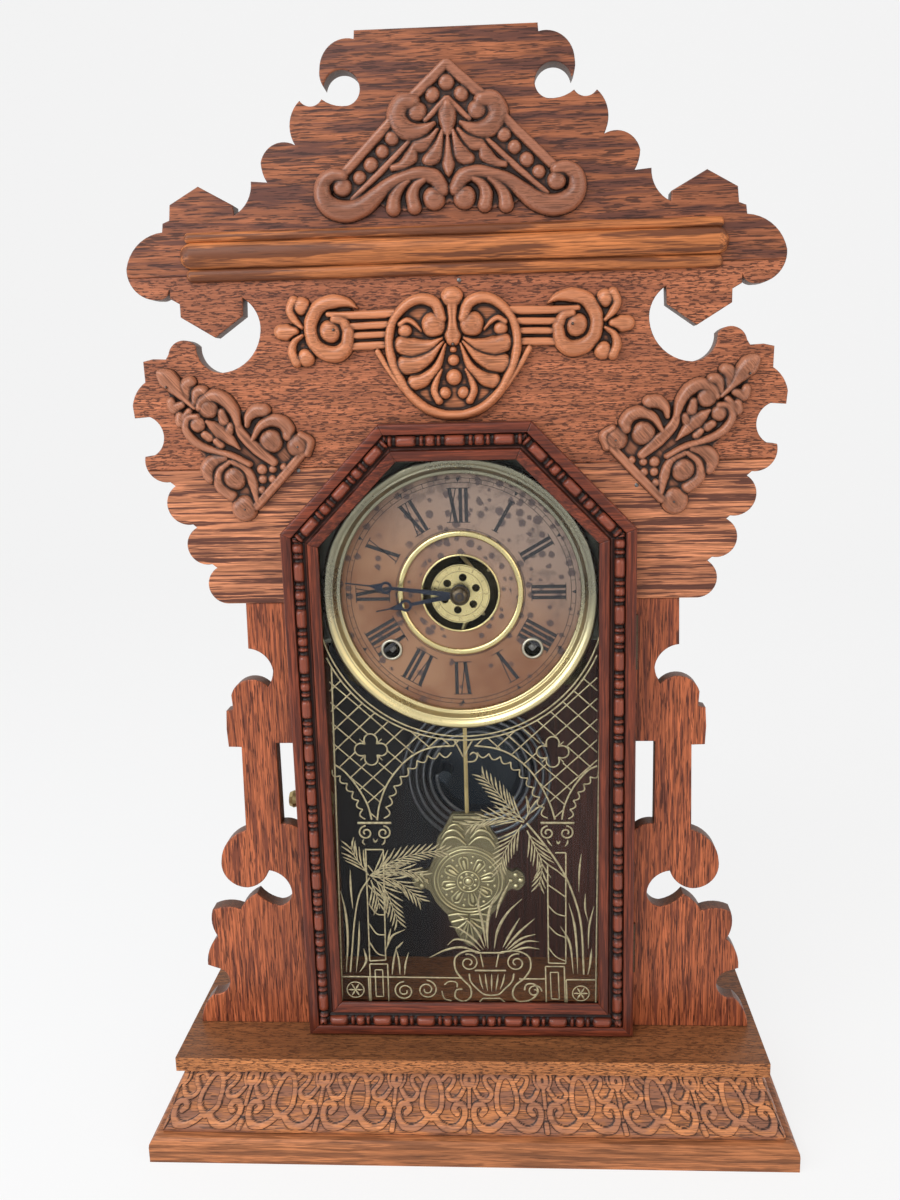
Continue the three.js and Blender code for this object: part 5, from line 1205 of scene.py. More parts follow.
def skirt(relief, length, place, offset):
    """A run of base moulding. Its section falls from the shelf to the foot; the pressed pattern sinks into
    it between the ridges; place(s, u, z) sets a point of the section down at s along the run."""
    z = np.linspace(SKIRT_TOP, SKIRT_FOOT, 62)
    count = int(length / 0.5)
    s = (np.linspace(0, 1, count)[:, None] - 0.5) * length
    t = (z - SKIRT_FOOT)[None, :]
    high = pressed(s + offset, t)
    edge = np.clip(np.minimum(t - BORDER_LOW, BORDER_HIGH - t) / BORDER_SOFT, 0, 1)
    sink = SKIRT_SINK * (1 - high) * edge
    slope = 4 * high * (1 - high)
    # Painted shade: darker on the ridges' slopes, so the pressed pattern is outlined.
    wear = np.clip(0.6 + 0.22 * high - 0.6 * slope + 0.1 * (1 - edge), 0, 1)
    spread = np.concatenate([np.interp(z, SPREAD_AT, SPREAD) - sink, np.full((count, 2), SKIRT_BACK)], axis=1)
    level = np.broadcast_to(np.append(z, (SKIRT_FOOT, SKIRT_TOP)), spread.shape)
    wear = np.concatenate([wear, np.full((count, 2), 0.5)], axis=1)
    relief.tube(place(s, spread, level), wear.reshape(-1), flip=True)


class PressBase(bpy.types.Operator):
    """Presses the lyre pattern into the sloping mouldings on the front and the sides of the base"""

    bl_idname = "shelf_clock.press_base"
    bl_label = "Press the base mouldings"

    def execute(self, context):
        def across(s, u, z):
            """Along the front: each line of the section reaches to its own mitres."""
            return np.stack([2 * s / FRONT_RUN * (SKIRT_X + u - SKIRT_CUT), SKIRT_Y - u, z], -1)

        def along(s, u, z):
            """Along the right side, from the front mitre to the back."""
            start = SKIRT_Y - u + SKIRT_CUT
            return np.stack([SKIRT_X + u, start + (s / SIDE_RUN + 0.5) * (BASE_BACK - start), z], -1)

        def mirrored(s, u, z):
            """Along the left side."""
            return along(s, u, z) * (-1, 1, 1)

        for name, length, place, offset in (
            ("front", FRONT_RUN, across, SKIRT_TILE / 2),
            ("right", SIDE_RUN, along, 0.0),
            ("left", SIDE_RUN, mirrored, 0.0),
        ):
            relief = Relief()
            skirt(relief, length, place, offset)
            if name == "left":
                relief.turn_over()
            relief.build(f"base_skirt_{name}", "case", ["embossed"], [f"base_moulding_{name}"])
        return {"FINISHED"}


# ------------------------------------------------------------------ dial
INK_FRONT, INK_BACK = DIAL_FACE - 0.09, DIAL_FACE - 0.01
NUMERALS = ("XII", "I", "II", "III", "IIII", "V", "VI", "VII", "VIII", "IX", "X", "XI")
NUMERAL_LOW, NUMERAL_HIGH, SERIF = 38.4, 56.6, 0.22
LETTER_WIDTH = {"I": 3.0, "V": 6.4, "X": 5.4}
THICK_LINE, THIN_LINE, UPRIGHT_LINE = 2.0, 0.55, 1.9
TRACK_INNER, TRACK_OUTER, RING_INNER, TRACK_LINE = 59.6, 62.0, 34.9, 0.14
WINDING_X, WINDING_Z = 38.4, 280.0


def numeral_lines(text):
    """The strokes of one numeral as (foot offset, head offset, width), the middle of the text at 0."""
    widths = [LETTER_WIDTH[letter] for letter in text]
    left, lines = -sum(widths) / 2, []
    for letter, width in zip(text, widths):
        middle, half = left + width / 2, width / 2 - 1.0
        if letter == "I":
            lines.append((middle, middle, UPRIGHT_LINE))
        elif letter == "V":
            lines += [(middle, middle - half, THICK_LINE), (middle, middle + half, THIN_LINE)]
        else:
            lines += [(middle + half, middle - half, THICK_LINE), (middle - half, middle + half, THIN_LINE)]
        left += width
    return lines, sum(widths)


def on_dial(angle, across, out):
    """A place on the dial: out along the ray at a clockwise angle from the top, across to its right."""
    a = math.radians(angle)
    return (across * math.cos(a) + out * math.sin(a), DIAL_Z - across * math.sin(a) + out * math.cos(a))


def printed(relief, angle, corners, proud=0.0):
    """One flat printed shape, its corners given across and out from the ray at an angle."""
    flat_shape(relief, [on_dial(angle, *corner) for corner in corners], INK_FRONT - proud, INK_BACK)


def oblong(half, low, high):
    """The corners of an upright oblong about the ray."""
    return [(-half, low), (half, low), (half, high), (-half, high)]


class PrintDial(bpy.types.Operator):
    """Prints the Roman numerals, the minute track and its triangles on the dial"""

    bl_idname = "shelf_clock.print_dial"
    bl_label = "Print the dial"

    def execute(self, context):
        relief = Relief()
        for hour, text in enumerate(NUMERALS):
            lines, width = numeral_lines(text)
            for foot, head, thick in lines:
                half = thick / 2
                feet = [(foot - half, NUMERAL_LOW), (foot + half, NUMERAL_LOW)]
                printed(relief, 30 * hour, feet + [(head + half, NUMERAL_HIGH), (head - half, NUMERAL_HIGH)])
            for out in (NUMERAL_LOW, NUMERAL_HIGH):
                printed(relief, 30 * hour, oblong(width / 2 + 0.5, out - SERIF, out + SERIF), 0.02)
            printed(relief, 30 * hour, [(0, 59.7), (1.1, TRACK_OUTER), (-1.1, TRACK_OUTER)], 0.01)
        for minute in range(60):
            printed(relief, 6 * minute, oblong(0.13, TRACK_INNER, 61.9))
        for radius in (RING_INNER, TRACK_INNER, TRACK_OUTER):
            turned(relief, band(radius, TRACK_LINE, INK_FRONT, INK_BACK))
        relief.build("dial_print", "case", ["ink"])
        return {"FINISHED"}


# Closed profiles of the turned brass, as (radius, y).
BEZEL_PROFILE = (
    (64.6, 5.6), (64.55, 2.6), (64.9, 2.2), (65.6, 2), (66.1, 2.3), (66.5, 2), (66.9, 0.9), (67.6, 0.2),
    (68, -0.7), (68.4, -1.25), (68.9, -1.35), (69.3, -1), (69.7, -1.3), (70.4, -2), (71.3, -2.42),
    (72.2, -2.5), (73, -2.2), (73.6, -1.5), (74, -0.4), (74, 10.4), (67, 10.4), (67, 5.6),
)
CENTRE_RING_PROFILE = ((30.9, DIAL_FACE), (30.9, 5.4), (31.3, 4.9), (32.0, 4.62), (32.8, 4.6), (33.5, 4.85),
                       (34.0, 5.4), (34.1, DIAL_FACE))
CENTRE_RIM = ((20.2, 6.4), (20.2, 5.5), (20.6, 5.2), (21.2, 5.3), (21.5, 5.97), (20.7, 6), (20.6, 6.4))
WINDING_RIM = ((4.5, 6.6), (4.5, 5.2), (4.9, 4.9), (5.5, 5), (5.9, 5.5), (6, 5.97), (4.9, 6), (4.8, 6.6))
NUT_WASHER = ((4.6, -1.4), (4.6, -1.1), (5.3, -1.2), (5.3, -1.5), (5, -1.7))
# The sheet behind the bezel: its round inner edge, its octagon's reach and flat lower edge, its two faces.
SHEET_INNER, SHEET_REACH, SHEET_LOW, SHEET_FRONT, SHEET_BACK = 67.0, 83.15, -28.0, 10.0, 10.8


class FitDialBrass(bpy.types.Operator):
    """Turns the bezel, the centre ring, the rims of the holes, the hub nut and the winding squares"""

    bl_idname = "shelf_clock.fit_dial_brass"
    bl_label = "Fit the dial's brass"

    def execute(self, context):
        bezel = Relief()
        turned(bezel, BEZEL_PROFILE)
        self.sheet(bezel)
        bezel.build("bezel_turned", "case", ["bezel_brass", "grey_sheet"], ["dial_bezel"])
        ring = Relief()
        turned(ring, CENTRE_RING_PROFILE)
        ring.build("centre_ring_turned", "case", ["bright_brass"], ["dial_centre_ring"])
        rims = Relief()
        turned(rims, CENTRE_RIM, around=90)
        for x in (-WINDING_X, WINDING_X):
            turned(rims, WINDING_RIM, x, WINDING_Z, 40, 1)
        rims.build("dial_hole_rims", "case", ["bright_brass", "rim_metal"])
        nut = Relief()
        dome(nut, 0.0, DIAL_Z, 4.72, 4.42, 1.1, around=40, rows=12, flat=0.8)
        turned(nut, NUT_WASHER, around=40)
        nut.build("hub_nut_turned", "minute_arbor", ["dark_bronze"])
        for x, body in ((WINDING_X, "time_great"), (-WINDING_X, "strike_great")):
            square = Relief()
            flat_shape(square, [polar((x, WINDING_Z), 2.45, k * np.pi / 2) for k in range(4)], 8.45, 19.5)
            dome(square, x, WINDING_Z, 1.5, 0.6, 0.0, 0, 14, 5, face=8.5)
            square.build(body + "_winding_square", body, ["nail"])
        return {"FINISHED"}

    def sheet(self, relief):
        """The grey sheet around the bezel's upper part: an octagon outside, a circle inside."""
        angle = np.radians(np.linspace(-24.5, 204.5, 150))
        sector = (angle + np.pi / 8) % (np.pi / 4) - np.pi / 8
        reach = SHEET_REACH / np.cos(sector)
        inner = np.stack([SHEET_INNER * np.cos(angle), SHEET_INNER * np.sin(angle)], 1)
        outer = np.stack([reach * np.cos(angle), np.maximum(reach * np.sin(angle), SHEET_LOW)], 1)
        corners = ((inner, SHEET_FRONT), (outer, SHEET_FRONT), (outer, SHEET_BACK), (inner, SHEET_BACK))
        rows = [at_depth(flat + (0, DIAL_Z), y) for flat, y in corners]
        relief.tube(np.stack(rows, axis=1), np.ones(4 * len(angle)), 1)


DIGITS = {
    "0": ((0, 0), (1, 0), (1, 2), (0, 2), (0, 0)),
    "1": ((0.5, 0), (0.5, 2), (0.2, 1.6)),
    "2": ((1, 0), (0, 0), (1, 1.3), (0.8, 2), (0.1, 1.8)),
    "3": ((0, 0), (1, 0.3), (0.9, 0.9), (0.4, 1.1), (1, 1.5), (0.8, 2), (0, 1.9)),
    "4": ((0.8, 0), (0.8, 2), (0, 0.7), (1, 0.7)),
    "5": ((0, 0), (0.9, 0.2), (0.9, 1), (0.1, 1.2), (0.1, 2), (1, 2)),
    "6": ((0.9, 2), (0, 1), (0, 0), (1, 0), (1, 0.9), (0, 0.9)),
    "7": ((0.3, 0), (1, 2), (0, 2)),
    "8": ((0.5, 1.1), (0, 0.6), (0.1, 0), (0.9, 0), (1, 0.6), (0, 1.5), (0.2, 2), (0.8, 2), (1, 1.5),
          (0.5, 1.1)),
    "9": ((0.1, 0), (1, 1), (1, 2), (0, 2), (0, 1.1), (1, 1.1)),
}
DIGIT_PITCH, DIGIT_WIDE, DIGIT_HIGH, DIGIT_FOOT, DISC_FACE = 1.05, 0.8, 0.85, 13.0, 4.08


class EngraveAlarmDisc(bpy.types.Operator):
    """Engraves the hours and two circles on the alarm disc"""

    bl_idname = "shelf_clock.engrave_alarm_disc"
    bl_label = "Engrave the alarm disc"

    def execute(self, context):
        relief = Relief()
        for hour in range(1, 13):
            text = str(hour)
            for place, digit in enumerate(text):
                start = (place - len(text) / 2) * DIGIT_PITCH + 0.12
                points = [on_dial(180 - 30 * hour, start + DIGIT_WIDE * a, DIGIT_FOOT + DIGIT_HIGH * b)
                          for a, b in DIGITS[digit]]
                stroke(relief, points, 0.26, 0.07, columns=5, face=DISC_FACE)
        for radius in (12.2, 15.4):
            turned(relief, band(radius, 0.12, 4.03, 4.09), around=72)
        relief.build("alarm_disc_engraving", "alarm_disc", ["engraving"])
        return {"FINISHED"}


# ------------------------------------------------------------------ gilding on the glass
# Every line is (width, points) in mm; spirals and rosettes are (x, z, radius, ...).
GILT_LINES = (
    (1, ((-69.9, 273.2), (-73.6, 73.1))),
    (1, ((74.2, 283), (71.8, 71.2))),
    (1.5, ((-74, 72.7), (72.1, 71.2))),
    (1, ((-72.9, 89.5), (-3.9, 89.1))),
    (1, ((28.4, 88.7), (43.2, 88.8))),
    (1, ((55.2, 88.4), (71.8, 88.4))),
    (0.9, ((-57.8, 89.6), (-57.7, 73.3))),
    (0.9, ((55.2, 88.4), (55.6, 71.6))),
    (0.9, ((-56.7, 97.5), (-46.4, 97.6), (-46.6, 73.4))),
    (0.9, ((-56.7, 97.5), (-56.9, 73.3))),
    (0.8, ((-53.7, 93.9), (-49.4, 93.9), (-49.5, 77), (-53.8, 77), (-53.7, 93.9))),
    (0.9, ((43.5, 96.6), (54.1, 96.6), (54.6, 72.7))),
    (0.9, ((43.5, 96.6), (43.8, 73.1))),
    (0.8, ((46.2, 93), (50.7, 93), (51.2, 76), (46.7, 76.2), (46.2, 93))),
    (0.9, ((-56.5, 167.9), (-46.1, 167.9), (-47.4, 100.1), (-56.6, 99.4), (-56, 167.9))),
    (0.9, ((49.4, 166), (55.3, 166), (55, 98.5), (45.2, 98.8), (45.2, 158.6))),
    (1.4, ((-59.9, 183.8), (-41, 183.8))),
    (1.4, ((41.5, 183.7), (60.1, 183.6))),
    (1.1, ((3.6, 104.9), (20.2, 105))),
    (0.9, ((6.8, 104.1), (8.2, 96))),
    (0.9, ((17.1, 104.2), (15.5, 96.1))),
    (1.2, ((3.3, 93.8), (21.1, 93.9))),
    (0.9, ((7.6, 76.2), (17.6, 76.3), (20.8, 73.2))),
    (0.9, ((7.6, 76.2), (5.1, 73.3))),
)
GILT_CURVES = (
    (1, ((-48.8, 185.3), (-47, 194.8), (-42.4, 206.5), (-35.1, 216.6), (-26.7, 223.8), (-17, 227.7),
        (-4.8, 228.6))),
    (1, ((6.1, 228.6), (16.8, 227.1), (26.2, 223.2), (35.6, 214.9), (42.2, 204.8), (46.9, 194.6),
        (49.5, 185.6))),
    (1, ((-71.4, 218.5), (-65.5, 213.9), (-59, 205.1), (-53.9, 194.9), (-51.8, 185.7))),
    (1, ((72.5, 216.8), (66.6, 213.3), (59.8, 204.7), (55, 194.6), (53.2, 185.6))),
    (0.8, ((45.5, 146.6), (50.6, 142.8), (55.4, 139.1))),
    (0.8, ((45, 134.5), (49.6, 129.5), (54.8, 127.7))),
    (0.8, ((45.6, 121.6), (49.8, 117), (54.8, 114.7))),
    (0.8, ((45.2, 108.5), (49.4, 102.8), (54.7, 100.1))),
    (0.8, ((45.6, 158.6), (50, 155.6), (55, 151.1))),
    (0.8, ((-55.2, 158.5), (-51.2, 153.2), (-46.5, 151.7))),
    (0.8, ((-55.4, 146.4), (-51.3, 141.1), (-46.7, 138.8))),
    (0.8, ((-55.7, 135), (-51.4, 128.9), (-46.6, 128.1))),
    (0.8, ((-55.9, 122.7), (-51.9, 116.5), (-47.1, 115.8))),
    (0.8, ((-56.1, 111.1), (-52.1, 104.4), (-47.3, 102.6))),
    (1, ((0.1, 91.9), (0.9, 86.9), (4.5, 82.2), (9.1, 78.6), (16.2, 78.7), (20.1, 82.3), (24.4, 87.1),
        (25.6, 92.1))),
    (1.1, ((6.1, 105.4), (-1.2, 105.9), (-7.4, 102), (-7.6, 94.2), (-3.5, 88), (0.5, 83.3), (0.7, 77.4),
        (-3.4, 74.2), (-8.1, 76.7), (-7.5, 81.2), (-4.1, 82.1))),
    (1.1, ((18.2, 105.4), (27.2, 106.1), (34, 102.7), (35, 95.6), (31.5, 89.3), (26.4, 84.6), (24.7, 78.9),
        (27.9, 74.5), (34.8, 75.5), (39.1, 80.6), (37.1, 85.3), (32.6, 85.2), (31.4, 81.5))),
    (0.9, ((-5, 232.2), (-2.1, 226.5), (-0.2, 222.2))),
    (0.9, ((5.3, 232.1), (2.2, 226.5), (0.5, 222.2))),
    (0.9, ((2, 219.3), (6.1, 219.9), (7.6, 223), (5.4, 224.7), (3.5, 223.3))),
    (1, ((-54.4, 150.9), (-60.5, 141.1), (-64, 125.7), (-66.3, 107.1), (-68.1, 92.2))),
    (1.2, ((33.8, 183.7), (43.3, 171.2), (52.8, 156.3), (59.6, 139.8), (63.7, 121.7), (65.1, 91.6))),
    (0.9, ((-14.3, 84.7), (-11.4, 86.8), (-7.4, 86.2), (-6.9, 83.1))),
    (0.9, ((-15.8, 80.8), (-14.5, 76), (-10.3, 74.5))),
)
GILT_LEAVES = (
    (1.9, ((11.1, 107.6), (10.9, 121.4), (13.7, 135.2), (20.2, 144.3))),
    (1.7, ((14.6, 107.6), (16.9, 119.2), (22.7, 129.9), (30.8, 138.3))),
    (1.6, ((15.8, 126.3), (18.5, 136.7), (24.8, 150.3))),
    (1.6, ((19.6, 108.4), (23.9, 116.9), (29.2, 126.4))),
    (1.5, ((20.9, 107.6), (28.1, 116.9), (37.6, 126.1))),
    (1.5, ((21.9, 106.8), (29.9, 113.8), (38, 116.6))),
    (1.5, ((22.7, 106.1), (32.4, 112), (39.9, 112))),
    (1.4, ((23.3, 105.5), (32.9, 108.3), (40.2, 107.4))),
    (1.5, ((9.3, 107.9), (6.3, 116), (0.9, 123.7), (-6.7, 129.3))),
    (1.5, ((8.3, 107.1), (2.9, 113.7), (-4.8, 119.8), (-10.4, 121.3))),
    (1.5, ((6.8, 106), (0.6, 111.4), (-7.1, 113.2), (-11.9, 109.6))),
    (1.5, ((5.8, 105.4), (-3.7, 108.3), (-13, 106.5), (-22.6, 101.6))),
    (1.7, ((10.1, 108.8), (8.2, 124.5), (6.2, 135.2), (8.6, 145.8))),
    (1.2, ((5.8, 91.6), (6.6, 86.6), (7.9, 81.9))),
    (1.2, ((9.2, 91.7), (9.7, 86.3), (10.4, 81))),
    (1.2, ((12.9, 91.7), (12.8, 86), (12.7, 80.7))),
    (1.2, ((16.6, 91.7), (15.9, 86.4), (15, 81))),
    (1.2, ((20.3, 91.7), (19.3, 86.7), (17.5, 82))),
    (1.6, ((-71.4, 142.9), (-69.2, 130.3), (-68.6, 113.3), (-70.4, 92.2))),
    (1.3, ((-65.2, 155.5), (-65.4, 144.1), (-64.8, 131.9))),
    (1.3, ((-61.5, 124.2), (-62.4, 110.3), (-64.7, 92.2))),
    (1.6, ((-59.7, 107.2), (-58.6, 99.4), (-62.7, 92.3))),
    (1.2, ((63.8, 165.3), (62.7, 154.8), (62.4, 142.6))),
    (1.2, ((66, 141.4), (65.9, 132.3), (67.6, 124.4))),
    (1.3, ((70.9, 134.1), (68.2, 121.7), (67.6, 107.9))),
    (1.5, ((56.8, 135.6), (59.8, 123.2), (61.2, 107.8), (61.7, 92.3))),
    (1.4, ((52, 121.6), (57.3, 110.9), (59.2, 92.3))),
    (1.5, ((69.5, 107.9), (68.7, 98.6), (67.3, 91.6))),
    (1.3, ((-44.1, 90.8), (-42.9, 99.5), (-40.8, 108.8))),
    (1.3, ((-39.5, 90.8), (-39.8, 99.5), (-41.2, 107.3))),
    (1.3, ((-36.9, 90.9), (-36.1, 97.9), (-34.1, 105))),
    (1.2, ((-40.9, 107.3), (-38.8, 109.6), (-37, 111.6))),
    (1.4, ((-47, 106.5), (-43.2, 115), (-35.6, 119.2))),
    (1.2, ((-43.7, 119.7), (-45.3, 113.5), (-46.2, 108.8))),
    (1.1, ((-56.7, 174.2), (-57.4, 172.4), (-56.1, 170.6))),
    (1.1, ((-51.4, 174.5), (-50.4, 172.4), (-48.9, 174.2))),
    (1.1, ((-44.8, 174.2), (-45.4, 171.9), (-46.9, 170.6))),
    (1.1, ((44.9, 174.1), (46, 172.1), (47.7, 170))),
    (1.1, ((50.1, 173.2), (51.2, 171.5), (52.3, 173.2))),
    (1.1, ((56.4, 173.8), (56.1, 171.5), (54.8, 169.7))),
)
GILT_FRONDS = (
    ((-54.4, 152), (-45.4, 158.5), (-34.3, 163.4), (-21.7, 166.4), (-12.6, 166.7)),
    ((-53.7, 151.7), (-44.4, 155.5), (-34.6, 155.5), (-25.6, 152.5)),
    ((-53, 151.7), (-41.8, 149.9), (-33.6, 144.2), (-25.7, 136.3)),
    ((-52.7, 150.9), (-46, 143.4), (-42.4, 133.5), (-39.7, 124.3)),
    ((-55, 152.4), (-58.3, 157.7), (-62.2, 163.7), (-64.5, 170)),
    ((32.7, 184.7), (25.7, 191.7), (18, 201.7), (9.5, 211.8)),
    ((32.5, 184.1), (22.9, 186.5), (12.8, 185.9), (0.9, 181.2)),
    ((31.4, 182.7), (25.7, 174.1), (20.9, 164.9), (18.5, 155.1)),
    ((34, 179.3), (38.9, 168.2), (42.1, 159.3), (40.3, 145.8)),
    ((33.3, 185.6), (35.5, 190.3), (36.1, 192.9)),
    ((-53.8, 149.4), (-50.4, 138), (-49.6, 131.9)),
)
GILT_SPIRALS = (
    (-37.3, 80.6, 6, 0.25, 1.8), (-24.4, 81.5, 6, 0.25, -1.8), (-55.3, 177.9, 4.2, 0.25, 1.4),
    (-45.6, 177.9, 4.2, 0.25, -1.4), (45.4, 177.8, 4.1, 0.25, 1.4), (55.6, 177.8, 4.1, 0.25, -1.4),
    (-0.1, 98.6, 5.6, 0.3, -1.5), (27.1, 98.8, 5.7, 0.2, 1.5), (37.1, 80.9, 4.2, 0, 1.3),
)
GILT_FOILS = ((-50.5, 226.7, 10.3), (48.5, 224.8, 10))
GILT_ROSETTES = ((-65.6, 81.2, 4.9), (63.4, 79.8, 4.7))

GILT_FACE, GILT_HEIGHT = -5.2, 0.16
ARC_OUTER, ARC_INNER = 79.2, 77.0
# The diagonal lines: how steep, how far apart, where the middle one crosses, and where they stop.
LATTICE_SLOPE, LATTICE_PITCH, LATTICE_Z, LATTICE_TOP = 0.93, 11.6, 239, 290
LEAF_LEAN, LEAF_PITCH, LEAF_LONG = 0.5, 3.7, 14.0


def gild(relief, path, width):
    stroke(relief, path, width, GILT_HEIGHT, columns=4, blunt=0.5, face=GILT_FACE)


def scallops(relief, curve, inset, count, side):
    """Small arcs along a curve, on chords inset from it: each bulges by a sine, 0.42 of its chord."""
    path = smooth_path(curve, 10)
    inner = path + side * inset * left_normals(path)
    knots = points_at(np.linspace(0.03, 0.97, count + 1) * lengths(inner)[-1], inner)
    t = np.linspace(0, 1, 9)[:, None]
    for a, b in zip(knots[:-1], knots[1:]):
        chord = b - a
        rise = side * np.array([-chord[1], chord[0]])
        gild(relief, a + chord * t + rise * np.sin(np.pi * t) * 0.42, 0.8)


def lattice(relief):
    """Crossed diagonal lines, kept where they lie between the arc under the dial and the arches and
    outside the quatrefoils."""
    arches = [smooth_path(points, 10) for _, points in GILT_CURVES[:4]]
    roof = np.vstack([arches[2], arches[0], arches[1], arches[3]])
    roof = roof[np.argsort(roof[:, 0])]
    x = np.linspace(-71.5, 72.5, 900)
    for slope in (LATTICE_SLOPE, -LATTICE_SLOPE):
        for start in np.arange(-330, 330, LATTICE_PITCH):
            z = slope * x + start + LATTICE_Z
            keep = np.hypot(x, z - DIAL_Z) > ARC_OUTER
            keep &= z > np.interp(x, roof[:, 0], roof[:, 1]) + 0.5
            keep &= z < LATTICE_TOP
            for cx, cz, radius in GILT_FOILS:
                keep &= np.hypot(x - cx, z - cz) > radius * 0.82
            edges = np.flatnonzero(np.diff(np.concatenate([[0], keep.astype(int), [0]])))
            for a, b in zip(edges[::2], edges[1::2]):
                if b - a > 18:
                    gild(relief, [(x[k], z[k]) for k in (a, (a + b) // 2, b - 1)], 0.75)


def frond(relief, points):
    """A palm frond: a rib with pairs of slim leaves that get shorter towards its tip and lean forward, about
    29 degrees off the rib."""
    rib = smooth_path(points, 8)
    gild(relief, rib, (0.9, 0.4))
    whole = lengths(rib)[-1]
    for place in np.arange(3.0, whole - 0.5, LEAF_PITCH):
        at = points_at(place, rib)
        ahead = points_at(place + 1, rib) - at
        ahead /= np.hypot(*ahead)
        long = LEAF_LONG * (1 - 0.5 * place / whole)
        for lean in (LEAF_LEAN, -LEAF_LEAN):
            c, s = math.cos(lean), math.sin(lean)
            way = np.array([c * ahead[0] - s * ahead[1], s * ahead[0] + c * ahead[1]])
            tip = at + way * long
            gild(relief, [at + 0.5 * way, (at + tip) / 2 + 0.6 * ahead, tip], (0.4, 1.25, 0.3))


def rosette(relief, x, z, radius):
    """Six pointed petals in a circle."""
    for k in range(6):
        gild(relief, straight((x, z), polar((x, z), 0.86 * radius, k * np.pi / 3)), (0.4, 1.3, 0.4))
    gild(relief, spiral((x, z), radius, radius, 0.0, 1.0, 30), 0.8)


def quatrefoil(relief, x, z, radius):
    """Four arcs, each bulging outwards, with a small ray between neighbours."""
    for k in range(4):
        angle = k * np.pi / 2
        centre = polar((x, z), 0.52 * radius, angle)
        gild(relief, spiral(centre, 0.35 * radius, 0.35 * radius, k / 4 - 0.32, 0.64, 18), 0.85)
        ray = [polar((x, z), share * radius, angle + np.pi / 4) for share in (0.42, 0.64, 0.84)]
        gild(relief, ray, (1.4, 0.7, 0.5))


class GildGlass(bpy.types.Operator):
    """Gilds the back of the glass: border, lattice, arches on columns, palms and an urn of leaves"""

    bl_idname = "shelf_clock.gild_glass"
    bl_label = "Gild the glass"

    def execute(self, context):
        relief = Relief()
        for width, points in GILT_LINES:
            for a, b in zip(points[:-1], points[1:]):
                gild(relief, straight(a, b), width)
        for width, points in GILT_CURVES:
            gild(relief, smooth_path(points), width)
        for width, points in GILT_LEAVES:
            gild(relief, smooth_path(points, 5), (0.3, width, width * 0.8, 0.25))
        for points in GILT_FRONDS:
            frond(relief, points)
        for x, z, radius, start, turns in GILT_SPIRALS:
            gild(relief, spiral((x, z), radius, radius * 0.22, start, turns, 34), 0.95)
        for place in GILT_ROSETTES:
            rosette(relief, *place)
        for place in GILT_FOILS:
            quatrefoil(relief, *place)
        for radius, low in ((ARC_INNER, 12), (ARC_OUTER, 24)):
            angle = np.radians(np.linspace(low - 180, -low, 90))
            gild(relief, np.stack([radius * np.cos(angle), DIAL_Z + radius * np.sin(angle)], 1), 0.9)
        for arch, (inset, count, side) in enumerate(((3.6, 9, -1), (3.6, 9, -1), (3.4, 6, -1), (3.4, 6, 1))):
            scallops(relief, GILT_CURVES[arch][1], inset, count, side)
        lattice(relief)
        relief.build("glass_gilding", "door", ["gilt"])
        return {"FINISHED"}


# ------------------------------------------------------------------ pendulum and gong
BOB_Z, BOB_FRONT = 140.5, 11.7
BOB_HALF = (
    (0, 181.4), (8.4, 181.4), (9.6, 179.6), (14.4, 170.2), (17.2, 166.4), (18.2, 161.4), (17.6, 156.6),
    (20.4, 152.4), (22.4, 147.4), (25.2, 145.6), (28, 146.9), (30.6, 145.4), (32.2, 142.8), (32.6, 140.5),
    (32.2, 138.2), (30.6, 135.6), (28, 134.1), (25.2, 135.4), (22.4, 133.6), (19.4, 126.8), (15.4, 121.6),
    (12.9, 119), (11.6, 114.4), (9.2, 110.6), (7.2, 106), (5.2, 103.2), (3.6, 101.2), (2, 99.4), (0, 98.4),
)
BOB_BACK, BOB_DISH, BOB_SWELL, BOB_BRIM = 15.0, 21.6, 1.5, 21.4
# Raised rings of the disc as (radius, width, height), and what is pressed around it as (path, widths).
BOB_RINGS = ((19.6, 1.1, 0.9), (17.6, 0.7, 0.6), (6.3, 0.9, 0.9), (2.9, 0.5, 0.5))
BOB_BERRIES = ((30.2, 140.5, 1.7), (27.2, 143.9, 1.5), (27.2, 137.1, 1.5), (24.4, 140.5, 1.3))
BOB_LEAVES = (
    (((0.5, 162.5), (6, 167), (12, 166.4), (16, 161)), (0.8, 1.8, 1.2)),
    (((1.5, 166.5), (6.5, 171.4), (11.8, 170.4), (15.2, 166)), (0.8, 1.8, 1)),
    (((2, 171.5), (5.6, 175), (9.4, 174.4), (11.4, 171.8)), (0.7, 1.5, 0.9)),
    (((-8.2, 179.3), (0, 179.3), (8.2, 179.3)), (2.2, 2.2)),
    (((0, 176.2), (4.6, 176.8), (8.4, 177)), (0.9, 0.9)),
    (((0.6, 119), (6.4, 119.4), (12.4, 118.6)), (0.6, 1.8, 0.8)),
    (((0.6, 117), (6, 115.4), (10.8, 114.4)), (0.6, 1.9, 1)),
    (((0.5, 116), (4.6, 112), (8.2, 110)), (0.6, 1.8, 1)),
    (((0.4, 115.5), (3.2, 109.6), (5.6, 105.8)), (0.6, 1.7, 1)),
    (((0.3, 115), (1.4, 108), (2.6, 102)), (0.5, 1.5, 0.9)),
)


